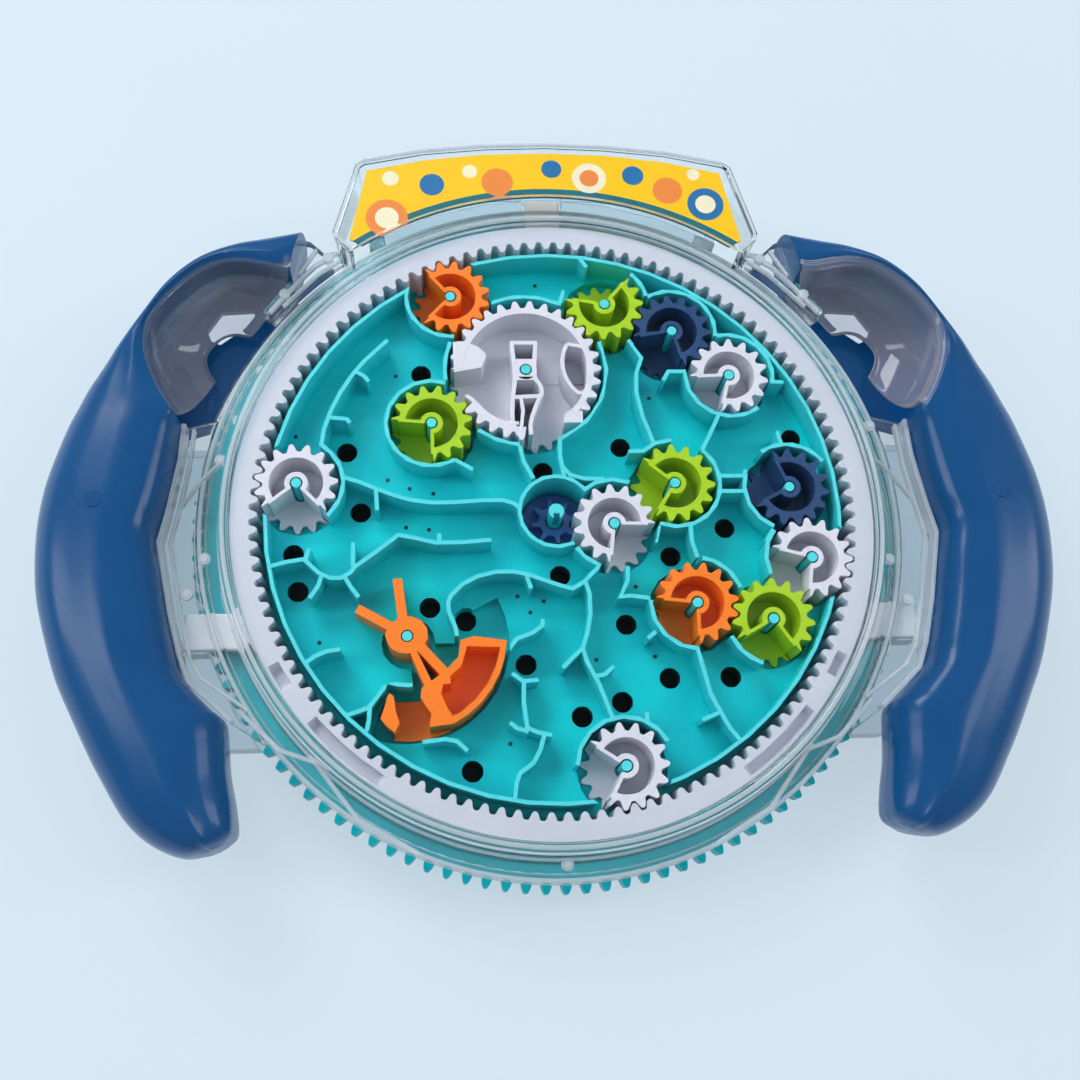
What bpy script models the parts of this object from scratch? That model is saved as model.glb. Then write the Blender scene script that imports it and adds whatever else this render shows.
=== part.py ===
"""Handheld gear maze puzzle.

A steering-wheel shaped toy: two curved grips hold a clear drum, and in the drum a
round maze plate turns with a knurled thumb wheel.  Small gears sit on pins of the
maze plate.  The outer ones roll inside a fixed ring gear, one rolls round a fixed
sun pinion, and all the others are driven by their neighbours, so every gear turns
its ball pocket as the plate turns.

Sizes below are millimetres.  The x axis runs to the right grip, y to the banner
and z to the viewer.  The turning axis of the plate is at x = 0, y = AXIS_Y.
"""
import math

import bmesh
import bpy
from mathutils import Vector
from mathutils.geometry import delaunay_2d_cdt

MM = 0.001

# Heights above the table
WALL_TOP = 28.0
FLOOR_DEPTH = 9.0
POCKET_DEPTH = 12.5
PLATE_THICKNESS = 2.0
GEAR_DISC_THICKNESS = 1.5
RUN_GAP = 0.3
WINDOW_GAP = 0.6
WINDOW_THICKNESS = 1.8
RETURN_HEIGHT = 6.3
PAN_THICKNESS = 2.0
SHELL_THICKNESS = 2.2

# Gear train
MODULE = 1.36
PRESSURE_ANGLE = math.radians(22.5)
SMALL_TEETH = 15
BIG_TEETH = 30
SUN_TEETH = 8
RING_TEETH = 120
ADDENDUM = 1.15
DEDENDUM = 1.10
SUN_DEDENDUM = 1.04
TOOTH_THINNING = 0.08
RING_ADDENDUM = 1.0
CENTRE_PLAY = 0.55
RING_PLAY = 0.3

# Pins and hubs
PIN_RADIUS = 1.4
PIN_CLEARANCE = 0.35
HUB_RADIUS = 3.2
RIM_DEPTH = 1.8
POCKET_WALL_WIDTH = 1.0
POCKET_CLEARANCE = 0.85

# Maze plate
WALL_WIDTH = 1.1
WHEEL_PLAY = 1.5
FLANGE_PLAY = 4.0
BALL_DIAMETER = 5.2
HOLE_RADIUS = 3.05
SUN_DISC_RADIUS = 9.2
SUN_HOLE_GAP = 0.4

# Ring gear
RING_WALL = 6.4
LUG_PAST_SKIRT = 5.7
SIDE_LUG_PAST_SKIRT = 2.9
LUG_Y = -30.0
LUG_WIDTH = 10.5
LUG_THICKNESS = 2.9
BAY_DEPTH = 3.0
BAY_START = 3.2
BAY_WALL = 1.2
RING_BAYS = ((-151.5, -146.5), (-33.5, -28.5), (-57.0, -40.5), (-139.5, -123.0))

# Clear cover
DRUM_GAP = 0.6
DRUM_WALL = 2.0
DECK_THICKNESS = 2.0
DECK_WIDTH = 7.2
SKIRT_WIDTH = 1.8
SKIRT_DEPTH = 6.4

# Thumb wheel
THUMB_TEETH = 118
THUMB_PAST_SKIRT = 2.7
THUMB_TOOTH_DEPTH = 2.9
THUMB_TOOTH_WIDTH = 2.6
THUMB_BOTTOM = 8.0
PAN_BORE = 4.6
SEAT_STEP = 6.0
RIB_RADIUS = 62.0
RIB_WIDTH = 2.0

# Centre post
POST_RADIUS = 2.2
POST_SHOULDER = 4.0

# Gate lever
LEVER_PIVOT = (-40.65, -34.15)
LEVER_SWING = 26.0
LEVER_REACH = 26.2
LEVER_PLAY = 1.0
LEVER_HUB_ROOM = 7.2
LEVER_STEM_ROOM = 14.0
LEVER_STEM_TURN = 27.0

# Grips, banner and back
GRIP_PARTING = 23.0
GRIP_HALF_HEIGHT = 14.0
GRIP_GAP = 0.3
GRIP_CROWN = 0.9
LEDGE_DROP = 9.6
LEDGE_FOOT = 0.4
BANNER_PAST_SKIRT = 13.9
BANNER_FRONT = 35.0
BANNER_PLATE = 1.7
BANNER_FOOT = 0.8
BANNER_TURN = 35.8
LABEL_FOOT = 1.6
LABEL_TURN = 32.4
LABEL_THICKNESS = 0.5
BOWL_THICKNESS = 1.5

# Derived heights
FLOOR_Z = WALL_TOP - FLOOR_DEPTH
POCKET_Z = WALL_TOP - POCKET_DEPTH
PLATE_BOTTOM = POCKET_Z - PLATE_THICKNESS
GEAR_BOTTOM = POCKET_Z + RUN_GAP
GEAR_DISC_TOP = GEAR_BOTTOM + GEAR_DISC_THICKNESS
PAN_TOP = PLATE_BOTTOM - RETURN_HEIGHT
PAN_BOTTOM = PAN_TOP - PAN_THICKNESS
WINDOW_BOTTOM = WALL_TOP + WINDOW_GAP
WINDOW_TOP = WINDOW_BOTTOM + WINDOW_THICKNESS
LUG_TOP = GEAR_BOTTOM + LUG_THICKNESS
DECK_BOTTOM = LUG_TOP + RUN_GAP
DECK_TOP = DECK_BOTTOM + DECK_THICKNESS
SKIRT_BOTTOM = DECK_TOP - SKIRT_DEPTH
THUMB_TOP = SKIRT_BOTTOM - RUN_GAP

# Derived radii and reaches
RING_PITCH = MODULE * RING_TEETH / 2
RING_OUTER = RING_PITCH + RING_WALL
DRUM_INNER = RING_OUTER + DRUM_GAP
DRUM_OUTER = DRUM_INNER + DRUM_WALL
SKIRT_RADIUS = DRUM_OUTER + DECK_WIDTH
SHELL_RADIUS = SKIRT_RADIUS - SKIRT_WIDTH
FLANGE_RADIUS = SHELL_RADIUS - FLANGE_PLAY
SEAT_RADIUS = FLANGE_RADIUS - SEAT_STEP
WHEEL_RADIUS = RING_PITCH - RING_ADDENDUM - WHEEL_PLAY
THUMB_TIP = SKIRT_RADIUS + THUMB_PAST_SKIRT
THUMB_ROOT = THUMB_TIP - THUMB_TOOTH_DEPTH
THUMB_CLEAR = THUMB_TIP + 3 * RUN_GAP
LUG_REACH = SKIRT_RADIUS + LUG_PAST_SKIRT
SIDE_LUG_REACH = SKIRT_RADIUS + SIDE_LUG_PAST_SKIRT
AXIS_Y = (THUMB_PAST_SKIRT - BANNER_PAST_SKIRT) / 2

# Spans are (bottom, top) of a column of material
FLOOR = (PLATE_BOTTOM, FLOOR_Z)
WALL = (PLATE_BOTTOM, WALL_TOP)
POCKET = (PLATE_BOTTOM, POCKET_Z)


def polar(radius, degrees, centre=(0.0, 0.0)):
    """Point at an angle round a centre."""
    angle = math.radians(degrees)
    return (centre[0] + radius * math.cos(angle), centre[1] + radius * math.sin(angle))


def circle(radius, steps, centre=(0.0, 0.0), start=0.0):
    """Closed circle as a list of points."""
    return [polar(radius, start + 360.0 * i / steps, centre) for i in range(steps)]


def arc(radius, start, end, step, centre=(0.0, 0.0)):
    """Open arc from one angle to another, with both ends."""
    count = max(1, math.ceil(abs(end - start) / step - 0.01))
    return [polar(radius, start + (end - start) * i / count, centre) for i in range(count + 1)]


def band(inner, outer, start, end, step, centre=(0.0, 0.0)):
    """Part of a flat ring."""
    return arc(outer, start, end, step, centre) + arc(inner, end, start, step, centre)


def box(x_low, y_low, x_high, y_high):
    """Rectangle."""
    return [(x_low, y_low), (x_high, y_low), (x_high, y_high), (x_low, y_high)]


def mirror(points):
    """The same outline on the other side."""
    return [(-x, y) for x, y in reversed(points)]


def signed_area(points):
    """Twice the area, positive when the outline runs counter-clockwise."""
    return sum(a[0] * b[1] - b[0] * a[1] for a, b in zip(points, points[1:] + points[:1]))


def stroke(points, width):
    """Outline of a wall with a given width along a line of points."""
    half = width / 2
    sides = []
    for i, point in enumerate(points):
        here = Vector(point)
        before = (here - Vector(points[i - 1])).normalized() if i else None
        after = (Vector(points[i + 1]) - here).normalized() if i + 1 < len(points) else None
        along = ((before or after) + (after or before)).normalized()
        across = Vector((-along.y, along.x))
        reach = half / max(0.6, along.dot(after or before))
        sides.append((here + across * reach, here - across * reach))
    return [tuple(s[1]) for s in sides] + [tuple(s[0]) for s in reversed(sides)]


def inset(outline, distance):
    """Closed outline moved inwards by a distance."""
    points = [Vector(p) for p in outline]
    turn = 1 if signed_area(outline) > 0 else -1
    moved = []
    for i, here in enumerate(points):
        before = (here - points[i - 1]).normalized()
        after = (points[(i + 1) % len(points)] - here).normalized()
        along = (before + after).normalized()
        inward = Vector((-along.y, along.x)) * turn
        moved.append(tuple(here + inward * distance / max(0.5, along.dot(after))))
    return moved


def involute(angle):
    """Involute function."""
    return math.tan(angle) - angle


def tooth_half_angle(teeth, radius, sign):
    """Half the angle that a tooth covers at a radius: sign 1 outside, -1 inside teeth."""
    pitch_radius = MODULE * teeth / 2
    base = pitch_radius * math.cos(PRESSURE_ANGLE)
    pressure = math.acos(min(1.0, base / radius))
    thickness = math.pi * MODULE / 2 - TOOTH_THINNING
    return thickness / (2 * pitch_radius) + sign * (involute(PRESSURE_ANGLE) - involute(pressure))


def ring_outline():
    """Inside teeth of the fixed ring: flat tips and straight flanks that meet at the root."""
    tip = RING_PITCH - RING_ADDENDUM
    step = 360.0 / RING_TEETH
    tip_half = math.degrees(tooth_half_angle(RING_TEETH, tip, -1))
    pitch_half = math.degrees(tooth_half_angle(RING_TEETH, RING_PITCH, -1))
    root = tip + RING_ADDENDUM * (step / 2 - tip_half) / (pitch_half - tip_half)
    points = []
    for i in range(RING_TEETH):
        middle = RING_PHASE + step * i
        points += [polar(tip, middle - tip_half), polar(tip, middle + tip_half), polar(root, middle + step / 2)]
    return points


def gear_outline(teeth, phase, addendum, dedendum, centre=(0.0, 0.0)):
    """Toothed outline: straight flanks between root and tip of each tooth."""
    pitch_radius = MODULE * teeth / 2
    tip = pitch_radius + addendum
    root = pitch_radius - dedendum
    tip_half = math.degrees(tooth_half_angle(teeth, tip, 1))
    root_half = math.degrees(tooth_half_angle(teeth, root, 1))
    points = []
    for i in range(teeth):
        middle = phase + 360.0 * i / teeth
        points += [polar(root, middle - root_half, centre), polar(tip, middle - tip_half, centre),
                   polar(tip, middle + tip_half, centre), polar(root, middle + root_half, centre)]
    return points


def cdt(coords, edges, faces, kind):
    """Constrained triangulation in the plane."""
    return delaunay_2d_cdt([Vector(c) for c in coords], edges, faces, kind, 1e-5, True)


def flat_regions(stamps):
    """Lay outlines over each other and return points, edges and the span left of each edge."""
    coords, loops = [], []
    for outline, _, _ in stamps:
        ordered = outline if signed_area(outline) > 0 else list(reversed(outline))
        loops.append(list(range(len(coords), len(coords) + len(ordered))))
        coords += ordered
    verts, _, faces, _, _, face_ids = cdt(coords, [], loops, 1)
    left = {}
    for face, ids in zip(faces, face_ids):
        span = None
        for index in sorted(ids):
            _, new, over = stamps[index]
            if over == "any" or (over == "material" and span) or span == over:
                span = new
        if span is None:
            continue
        a, b, c = (verts[i] for i in face)
        ring = face if (b - a).cross(c - a) > 0 else face[::-1]
        for i in range(3):
            left[(ring[i], ring[(i + 1) % 3])] = span
    borders = {}
    for (i, j), span in left.items():
        other = left.get((j, i))
        if other != span:
            borders[(i, j)] = span
    return verts, borders


def fill(verts, borders):
    """Triangles inside borders: each carries the value of the border on its right hand."""
    used = sorted({i for edge in borders for i in edge})
    slot = {old: new for new, old in enumerate(used)}
    edges = sorted({tuple(sorted((slot[i], slot[j]))) for i, j in borders})
    _, _, faces, origin, _, _ = cdt([verts[i] for i in used], edges, [], 0)
    back = [used[ids[0]] for ids in origin]
    sides, values, rings = {}, {}, []
    for number, face in enumerate(faces):
        a, b, c = (verts[back[i]] for i in face)
        ring = [back[i] for i in (face if (b - a).cross(c - a) > 0 else face[::-1])]
        rings.append(ring)
        for i in range(3):
            sides[(ring[i], ring[(i + 1) % 3])] = number
    border_keys = {frozenset(edge) for edge in borders}
    queue = []
    for edge, value in borders.items():
        number = sides[edge]
        if number not in values:
            values[number] = value
            queue.append(number)
    while queue:
        number = queue.pop()
        ring = rings[number]
        for i in range(3):
            edge = (ring[i], ring[(i + 1) % 3])
            if frozenset(edge) in border_keys:
                continue
            other = sides.get((edge[1], edge[0]))
            if other is not None and other not in values:
                values[other] = values[number]
                queue.append(other)
    return [(rings[number], value) for number, value in values.items()]


def terrace(stamps, centre=(0.0, 0.0)):
    """Solid of columns: each stamp gives its outline a (bottom, top) span, later ones win."""
    full = [(s[0], s[1], s[2] if len(s) > 2 else "any") for s in stamps]
    verts, borders = flat_regions(full)
    heights = {}
    for (i, j), span in borders.items():
        for k in (i, j):
            heights.setdefault(k, set()).update(span)
    mesh = bmesh.new()
    made = {}

    def corner(index, height):
        key = (index, height)
        if key not in made:
            x, y = verts[index]
            made[key] = mesh.verts.new(((x - centre[0]) * MM, (y - centre[1]) * MM, height * MM))
        return made[key]

    for ring, span in fill(verts, borders):
        mesh.faces.new([corner(i, span[1]) for i in ring])
    bottoms = {}
    for (i, j), span in borders.items():
        other = borders.get((j, i))
        if other is None or other[0] != span[0]:
            bottoms[(i, j)] = span[0]
    for ring, height in fill(verts, bottoms):
        mesh.faces.new([corner(i, height) for i in reversed(ring)])

    def side(i, j, low, high):
        """Upright strip from column i to column j, material on its left."""
        near = [h for h in sorted(heights[i]) if low <= h <= high]
        far = [h for h in sorted(heights[j]) if low <= h <= high]
        a = b = 0
        while a + 1 < len(near) or b + 1 < len(far):
            if b + 1 == len(far) or (a + 1 < len(near) and near[a + 1] <= far[b + 1]):
                mesh.faces.new([corner(i, near[a]), corner(j, far[b]), corner(i, near[a + 1])])
                a += 1
            else:
                mesh.faces.new([corner(i, near[a]), corner(j, far[b]), corner(j, far[b + 1])])
                b += 1

    for (i, j), (low, high) in borders.items():
        other = borders.get((j, i))
        if other is None:
            side(i, j, low, high)
            continue
        if other[1] < high:
            side(i, j, max(other[1], low), high)
        if other[0] > low:
            side(i, j, low, min(other[0], high))
    return mesh


def loft(rings, close_ring=True):
    """Skin of triangles over rings of equal point counts, with flat ends."""
    mesh = bmesh.new()
    rows = [[mesh.verts.new(Vector(p) * MM) for p in ring] for ring in rings]
    count = len(rows[0])
    for low, high in zip(rows, rows[1:]):
        for i in range(count if close_ring else count - 1):
            j = (i + 1) % count
            mesh.faces.new([low[i], low[j], high[j], high[i]])
    mesh.faces.new(list(reversed(rows[0])))
    mesh.faces.new(rows[-1])
    bmesh.ops.triangulate(mesh, faces=mesh.faces)
    return mesh


def revolve(profile, steps, centre=(0.0, 0.0)):
    """Turned solid from (radius, height) points that start and end on the axis."""
    mesh = bmesh.new()
    rows = []
    for radius, height in profile:
        if radius == 0:
            rows.append([mesh.verts.new((centre[0] * MM, centre[1] * MM, height * MM))])
        else:
            rows.append([mesh.verts.new((x * MM, y * MM, height * MM)) for x, y in circle(radius, steps, centre)])
    for low, high in zip(rows, rows[1:]):
        for i in range(steps):
            j = (i + 1) % steps
            if len(low) == 1:
                mesh.faces.new([low[0], high[j], high[i]])
            elif len(high) == 1:
                mesh.faces.new([low[i], low[j], high[0]])
            else:
                mesh.faces.new([low[i], low[j], high[j], high[i]])
    return mesh


def material(name, colour, roughness, metallic=0.0, alpha=1.0):
    """Principled material from an sRGB colour in 0 to 255."""
    made = bpy.data.materials.new(name)
    made.use_nodes = True
    shader = made.node_tree.nodes["Principled BSDF"]
    linear = [((c / 255 + 0.055) / 1.055) ** 2.4 if c > 10 else c / 255 / 12.92 for c in colour]
    shader.inputs["Base Color"].default_value = (*linear, 1.0)
    shader.inputs["Roughness"].default_value = roughness
    shader.inputs["Metallic"].default_value = metallic
    shader.inputs["Alpha"].default_value = alpha
    made.diffuse_color = (*linear, alpha)
    return made


def add(name, mesh, look, centre=(0.0, 0.0), smooth=35.0):
    """Turn a mesh into a named object that hangs under the puzzle's axis."""
    data = bpy.data.meshes.new(name)
    bmesh.ops.recalc_face_normals(mesh, faces=mesh.faces)
    mesh.to_mesh(data)
    mesh.free()
    thing = bpy.data.objects.new(name, data)
    bpy.context.scene.collection.objects.link(thing)
    data.materials.append(material(name, *look))
    if smooth:
        data.shade_smooth()
        data.set_sharp_from_angle(angle=math.radians(smooth))
    thing.parent = axis
    thing.location = (centre[0] * MM, centre[1] * MM, 0.0)
    return thing


for old in list(bpy.data.objects):
    bpy.data.objects.remove(old)
axis = bpy.data.objects.new("turning_axis", None)
axis.location = (0.0, AXIS_Y * MM, 0.0)
bpy.context.scene.collection.objects.link(axis)

BLUE = ((10, 84, 150), 0.28)
TEAL = ((0, 165, 176), 0.38)
WHITE = ((220, 217, 228), 0.4)
ORANGE = ((255, 127, 42), 0.4)
LIME = ((181, 214, 42), 0.4)
NAVY = ((44, 74, 120), 0.4)
CLEAR = ((225, 240, 248), 0.06, 0.0, 0.35)
YELLOW = ((255, 203, 0), 0.5)
STEEL = ((190, 192, 198), 0.18, 1.0)

# Gear train: every gear is placed from the one that drives it

PITCH = {"small": MODULE * SMALL_TEETH / 2, "big": MODULE * BIG_TEETH / 2, "sun": MODULE * SUN_TEETH / 2}
RING_PHASE = 0.0
SUN_PHASE = 10.0
SMALL_TIP = PITCH["small"] + ADDENDUM
BIG_TIP = PITCH["big"] + ADDENDUM

# name: driver, direction from the driver in degrees, ball pocket from and to, colour
TRAIN = {
    "gear_a": ("ring", 113.3, 133.5, 219.5, ORANGE),
    "gear_g": ("ring", 172.8, 210.5, 302.5, WHITE),
    "gear_l": ("ring", -11.5, 171.5, 267.5, WHITE),
    "gear_o": ("ring", -77.4, 144.5, 240.5, WHITE),
    "gear_b": ("gear_a", -47.6, 0.0, 0.0, WHITE),
    "gear_c": ("gear_b", 41.4, 60.5, 164.5, LIME),
    "gear_f": ("gear_b", 211.1, 168.5, 262.5, LIME),
    "gear_d": ("gear_c", -24.2, 183.5, 275.5, NAVY),
    "gear_e": ("gear_d", -41.9, 170.5, 264.5, WHITE),
    "gear_i": ("gear_l", 102.1, 111.5, 206.5, NAVY),
    "gear_n": ("gear_l", -125.6, 204.5, 298.5, LIME),
    "gear_m": ("gear_n", 166.7, 175.5, 276.5, ORANGE),
    "gear_k": ("sun", -13.3, 264.5, 359.5, WHITE),
    "gear_h": ("gear_k", 33.5, 138.5, 231.5, LIME),
}


def place_train():
    """Centre and tooth phase of each gear, so that all are in mesh."""
    placed = {"sun": ((0.0, 0.0), SUN_PHASE, SUN_TEETH)}
    for name, (driver, direction, _, _, _) in TRAIN.items():
        teeth = BIG_TEETH if name == "gear_b" else SMALL_TEETH
        step = 360.0 / teeth
        if driver == "ring":
            centre = polar(RING_PITCH - MODULE * teeth / 2 - RING_PLAY, direction)
            offset = (RING_PHASE - direction) / (360.0 / RING_TEETH) + 0.5
            phase = direction + step * offset
        else:
            origin, driver_phase, driver_teeth = placed[driver]
            distance = MODULE * (teeth + driver_teeth) / 2 + CENTRE_PLAY
            centre = polar(distance, direction, origin)
            offset = (driver_phase - direction) / (360.0 / driver_teeth) + 0.5
            phase = direction + 180.0 - step * offset
        placed[name] = (centre, phase % step, teeth)
    return placed


PLACED = place_train()


def small_gear(name):
    """Toothed cup with a C-shaped hub and an open pocket for the ball."""
    centre, phase, teeth = PLACED[name]
    step = 360.0 / teeth
    _, _, start, end, look = TRAIN[name]
    start = phase + step * round((start - phase) / step)
    end = phase + step * round((end - phase) / step)
    root = PITCH["small"] - DEDENDUM
    rim_inner = root - RIM_DEPTH
    bore = PIN_RADIUS + PIN_CLEARANCE
    high = (GEAR_BOTTOM, WALL_TOP)
    disc = (GEAR_BOTTOM, GEAR_DISC_TOP)
    wedge = [polar(bore + 0.1, (start + end) / 2)] + arc(SMALL_TIP + 1.0, start, end, 30.0)
    stamps = [
        (gear_outline(teeth, phase, ADDENDUM, DEDENDUM), high),
        (arc(rim_inner, end, start + 360.0, 34.0) + [(0.0, 0.0)], disc, "material"),
        (circle(HUB_RADIUS, 8, start=(start + end) / 2), high, "material"),
        (wedge, disc, "material"),
    ]
    half = POCKET_WALL_WIDTH / 2
    for angle, turn in ((start, -1), (end, 1)):
        ray = Vector(polar(1.0, angle))
        across = Vector((-ray.y, ray.x)) * turn
        low = ray * (bore + 0.15) + across * half
        line = [low - across * half, ray * (root + 0.3) - across * half, ray * (root + 0.3) + across * half, low]
        stamps.append(([tuple(p) for p in line], high, "material"))
    stamps.append((circle(bore, 8, start=22.5), None))
    add(name, terrace(stamps), look, centre)


def big_gear():
    """Large gear with a barred window, a curved guide wall and a lens pocket."""
    centre, phase, teeth = PLACED["gear_b"]
    high = (GEAR_BOTTOM, WALL_TOP)
    disc = (GEAR_BOTTOM, GEAR_DISC_TOP)
    rim_inner = PITCH["big"] - DEDENDUM - RIM_DEPTH

    def local(points):
        return [(x - centre[0], y - centre[1]) for x, y in points]

    bar = [(-11.5, 51.5), (-3.5, 51.5), (-4.2, 40.5), (-2.6, 37.5), (-2.2, 35.0), (-3.6, 32.0), (-5.6, 26.5),
           (-5.6, 22.0), (-9.6, 22.0), (-11.8, 26.5), (-11.6, 33.5), (-10.8, 38.5), (-10.4, 42.0)]
    upper = [(-10.0, 50.0), (-5.0, 50.0), (-5.4, 45.6), (-9.4, 45.6)]
    lower = [(-9.8, 39.0), (-5.2, 39.0), (-5.0, 35.0), (-9.8, 35.0)]
    slot = [(-10.3, 32.5), (-8.7, 32.3), (-8.7, 25.8), (-10.0, 25.5)]
    guide = [(-9.5, 26.0), (-12.0, 26.0), (-15.0, 26.8), (-18.5, 29.0), (-22.0, 32.8), (-24.2, 34.5)]
    block = [(-28.0, 51.0), (-24.0, 51.0), (-20.5, 49.5), (-18.0, 47.0), (-19.5, 43.0), (-28.0, 41.5)]
    end_block = [(3.2, 26.0), (8.5, 26.0), (8.5, 29.5), (5.5, 30.2), (3.4, 28.6)]
    lens_outer = [(4.3, 51.2), (10.5, 49.5), (11.0, 36.5), (8.0, 33.8), (4.6, 37.5), (3.0, 42.0), (3.0, 47.0)]
    lens_inner = [(5.6, 49.3), (9.8, 46.8), (9.9, 39.5), (8.0, 36.2), (5.6, 38.6), (4.3, 42.5), (4.3, 46.6)]
    tip = BIG_TIP + 1.0
    stamps = [
        (gear_outline(teeth, phase, ADDENDUM, DEDENDUM), high),
        (circle(rim_inner, 24), disc, "material"),
        (band(rim_inner - 2.0, tip, 180.0, 213.0, 16.5), disc, "material"),
        (band(rim_inner - 2.0, tip, 269.0, 314.0, 15.0), disc, "material"),
        (local(bar), high, "material"),
        (local(block), high, "material"),
        (local(end_block), high, "material"),
        (stroke(local(guide), WALL_WIDTH), high, "material"),
        (local(lens_outer), high, "material"),
        (local(lens_inner), disc, "material"),
        (circle(HUB_RADIUS, 10), high, "material"),
        (local(upper), disc, "material"),
        (local(slot), disc, "material"),
        (circle(PIN_RADIUS + PIN_CLEARANCE, 8, start=22.5), None),
    ]
    add("gear_b", terrace(stamps), TRAIN["gear_b"][4], centre)


# Lever: an orange gate that swings about its own pin

def lever():
    """Gate lever with a fork, a stem with a window, a bucket and a leaf."""
    high = (GEAR_BOTTOM, WALL_TOP)
    floor = (GEAR_BOTTOM, GEAR_DISC_TOP)
    fork = (FLOOR_Z + RUN_GAP, WALL_TOP)
    hub = [(-39.7, -28.8), (-37.0, -30.0), (-35.5, -32.0), (-35.2, -34.5), (-36.2, -36.5), (-40.5, -38.9),
           (-43.0, -38.5), (-44.7, -37.5), (-45.7, -36.0), (-46.5, -33.5), (-44.8, -30.6), (-42.6, -29.2)]
    stem = [(-40.4, -37.6), (-36.4, -36.0), (-29.6, -43.6), (-29.4, -47.0), (-36.2, -47.4)]
    window = [(-38.2, -38.0), (-32.2, -44.6), (-34.4, -46.2)]
    reach = LEVER_REACH
    sector = arc(reach, -63.0, -3.6, 10.0, LEVER_PIVOT)
    bucket = sector + [(-23.0, -34.5), (-26.7, -35.5), (-27.3, -40.0), (-30.2, -43.0), (-35.7, -46.7)]
    anchor = [(-35.7, -46.7), (-37.0, -48.2), (-37.2, -50.5), (-35.7, -53.0), (-34.5, -54.7), (-35.0, -58.2),
              polar(reach, -63.0, LEVER_PIVOT), (-28.2, -56.5), (-30.0, -44.5)]
    recess = [(-25.0, -37.2)] + arc(reach - 1.6, -8.0, -56.0, 12.0, LEVER_PIVOT)
    recess += [(-29.0, -55.5), (-30.5, -53.0), (-32.0, -49.5), (-31.2, -46.5), (-26.7, -42.5)]
    plate = arc(reach, -98.5, -62.0, 9.2, LEVER_PIVOT) + [(-34.0, -49.8), (-44.3, -49.8)]
    leaf = [(-45.2, -49.2), (-44.2, -50.0), (-43.6, -54.0), (-42.6, -57.0), (-43.9, -59.4), (-46.2, -57.5),
            (-47.5, -55.7), (-46.4, -52.5), (-45.8, -50.0)]
    tines = [[(-41.6, -31.0), (-43.25, -18.5)], [(-43.4, -32.4), (-53.75, -26.5)]]
    bar = 2.5
    stamps = [(stroke(t, bar), fork) for t in tines]
    stamps += [(plate, floor), (leaf, high), (bucket, high), (anchor, high), (recess, floor), (stem, high),
               (hub, high), (window, None), (circle(PIN_RADIUS + PIN_CLEARANCE, 8, LEVER_PIVOT, 22.5), None)]
    add("gate_lever", terrace(stamps, LEVER_PIVOT), ORANGE, LEVER_PIVOT)


# Maze plate: wall routes in millimetres from the turning axis

GUARDS = {
    "gear_a": [(171, 274)], "gear_f": [(72, 300)], "gear_g": [(-48, 45)], "gear_o": [(29, 178)],
    "gear_n": [(201, 252)], "gear_m": [(18, 80), (176, 266)], "gear_h": [(247, 410), (91, 133)],
    "gear_i": [(162, 245), (37, 124)], "gear_l": [(141, 201)], "gear_d": [(-8, 120)],
    "gear_e": [(177, 307), (-12, 102)], "gear_c": [(12, 50)], "gear_k": [(68, 133), (212, 250)],
    "gear_b": [(158, 188), (233, 264), (64, 114), (-66, 22)],
}

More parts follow.
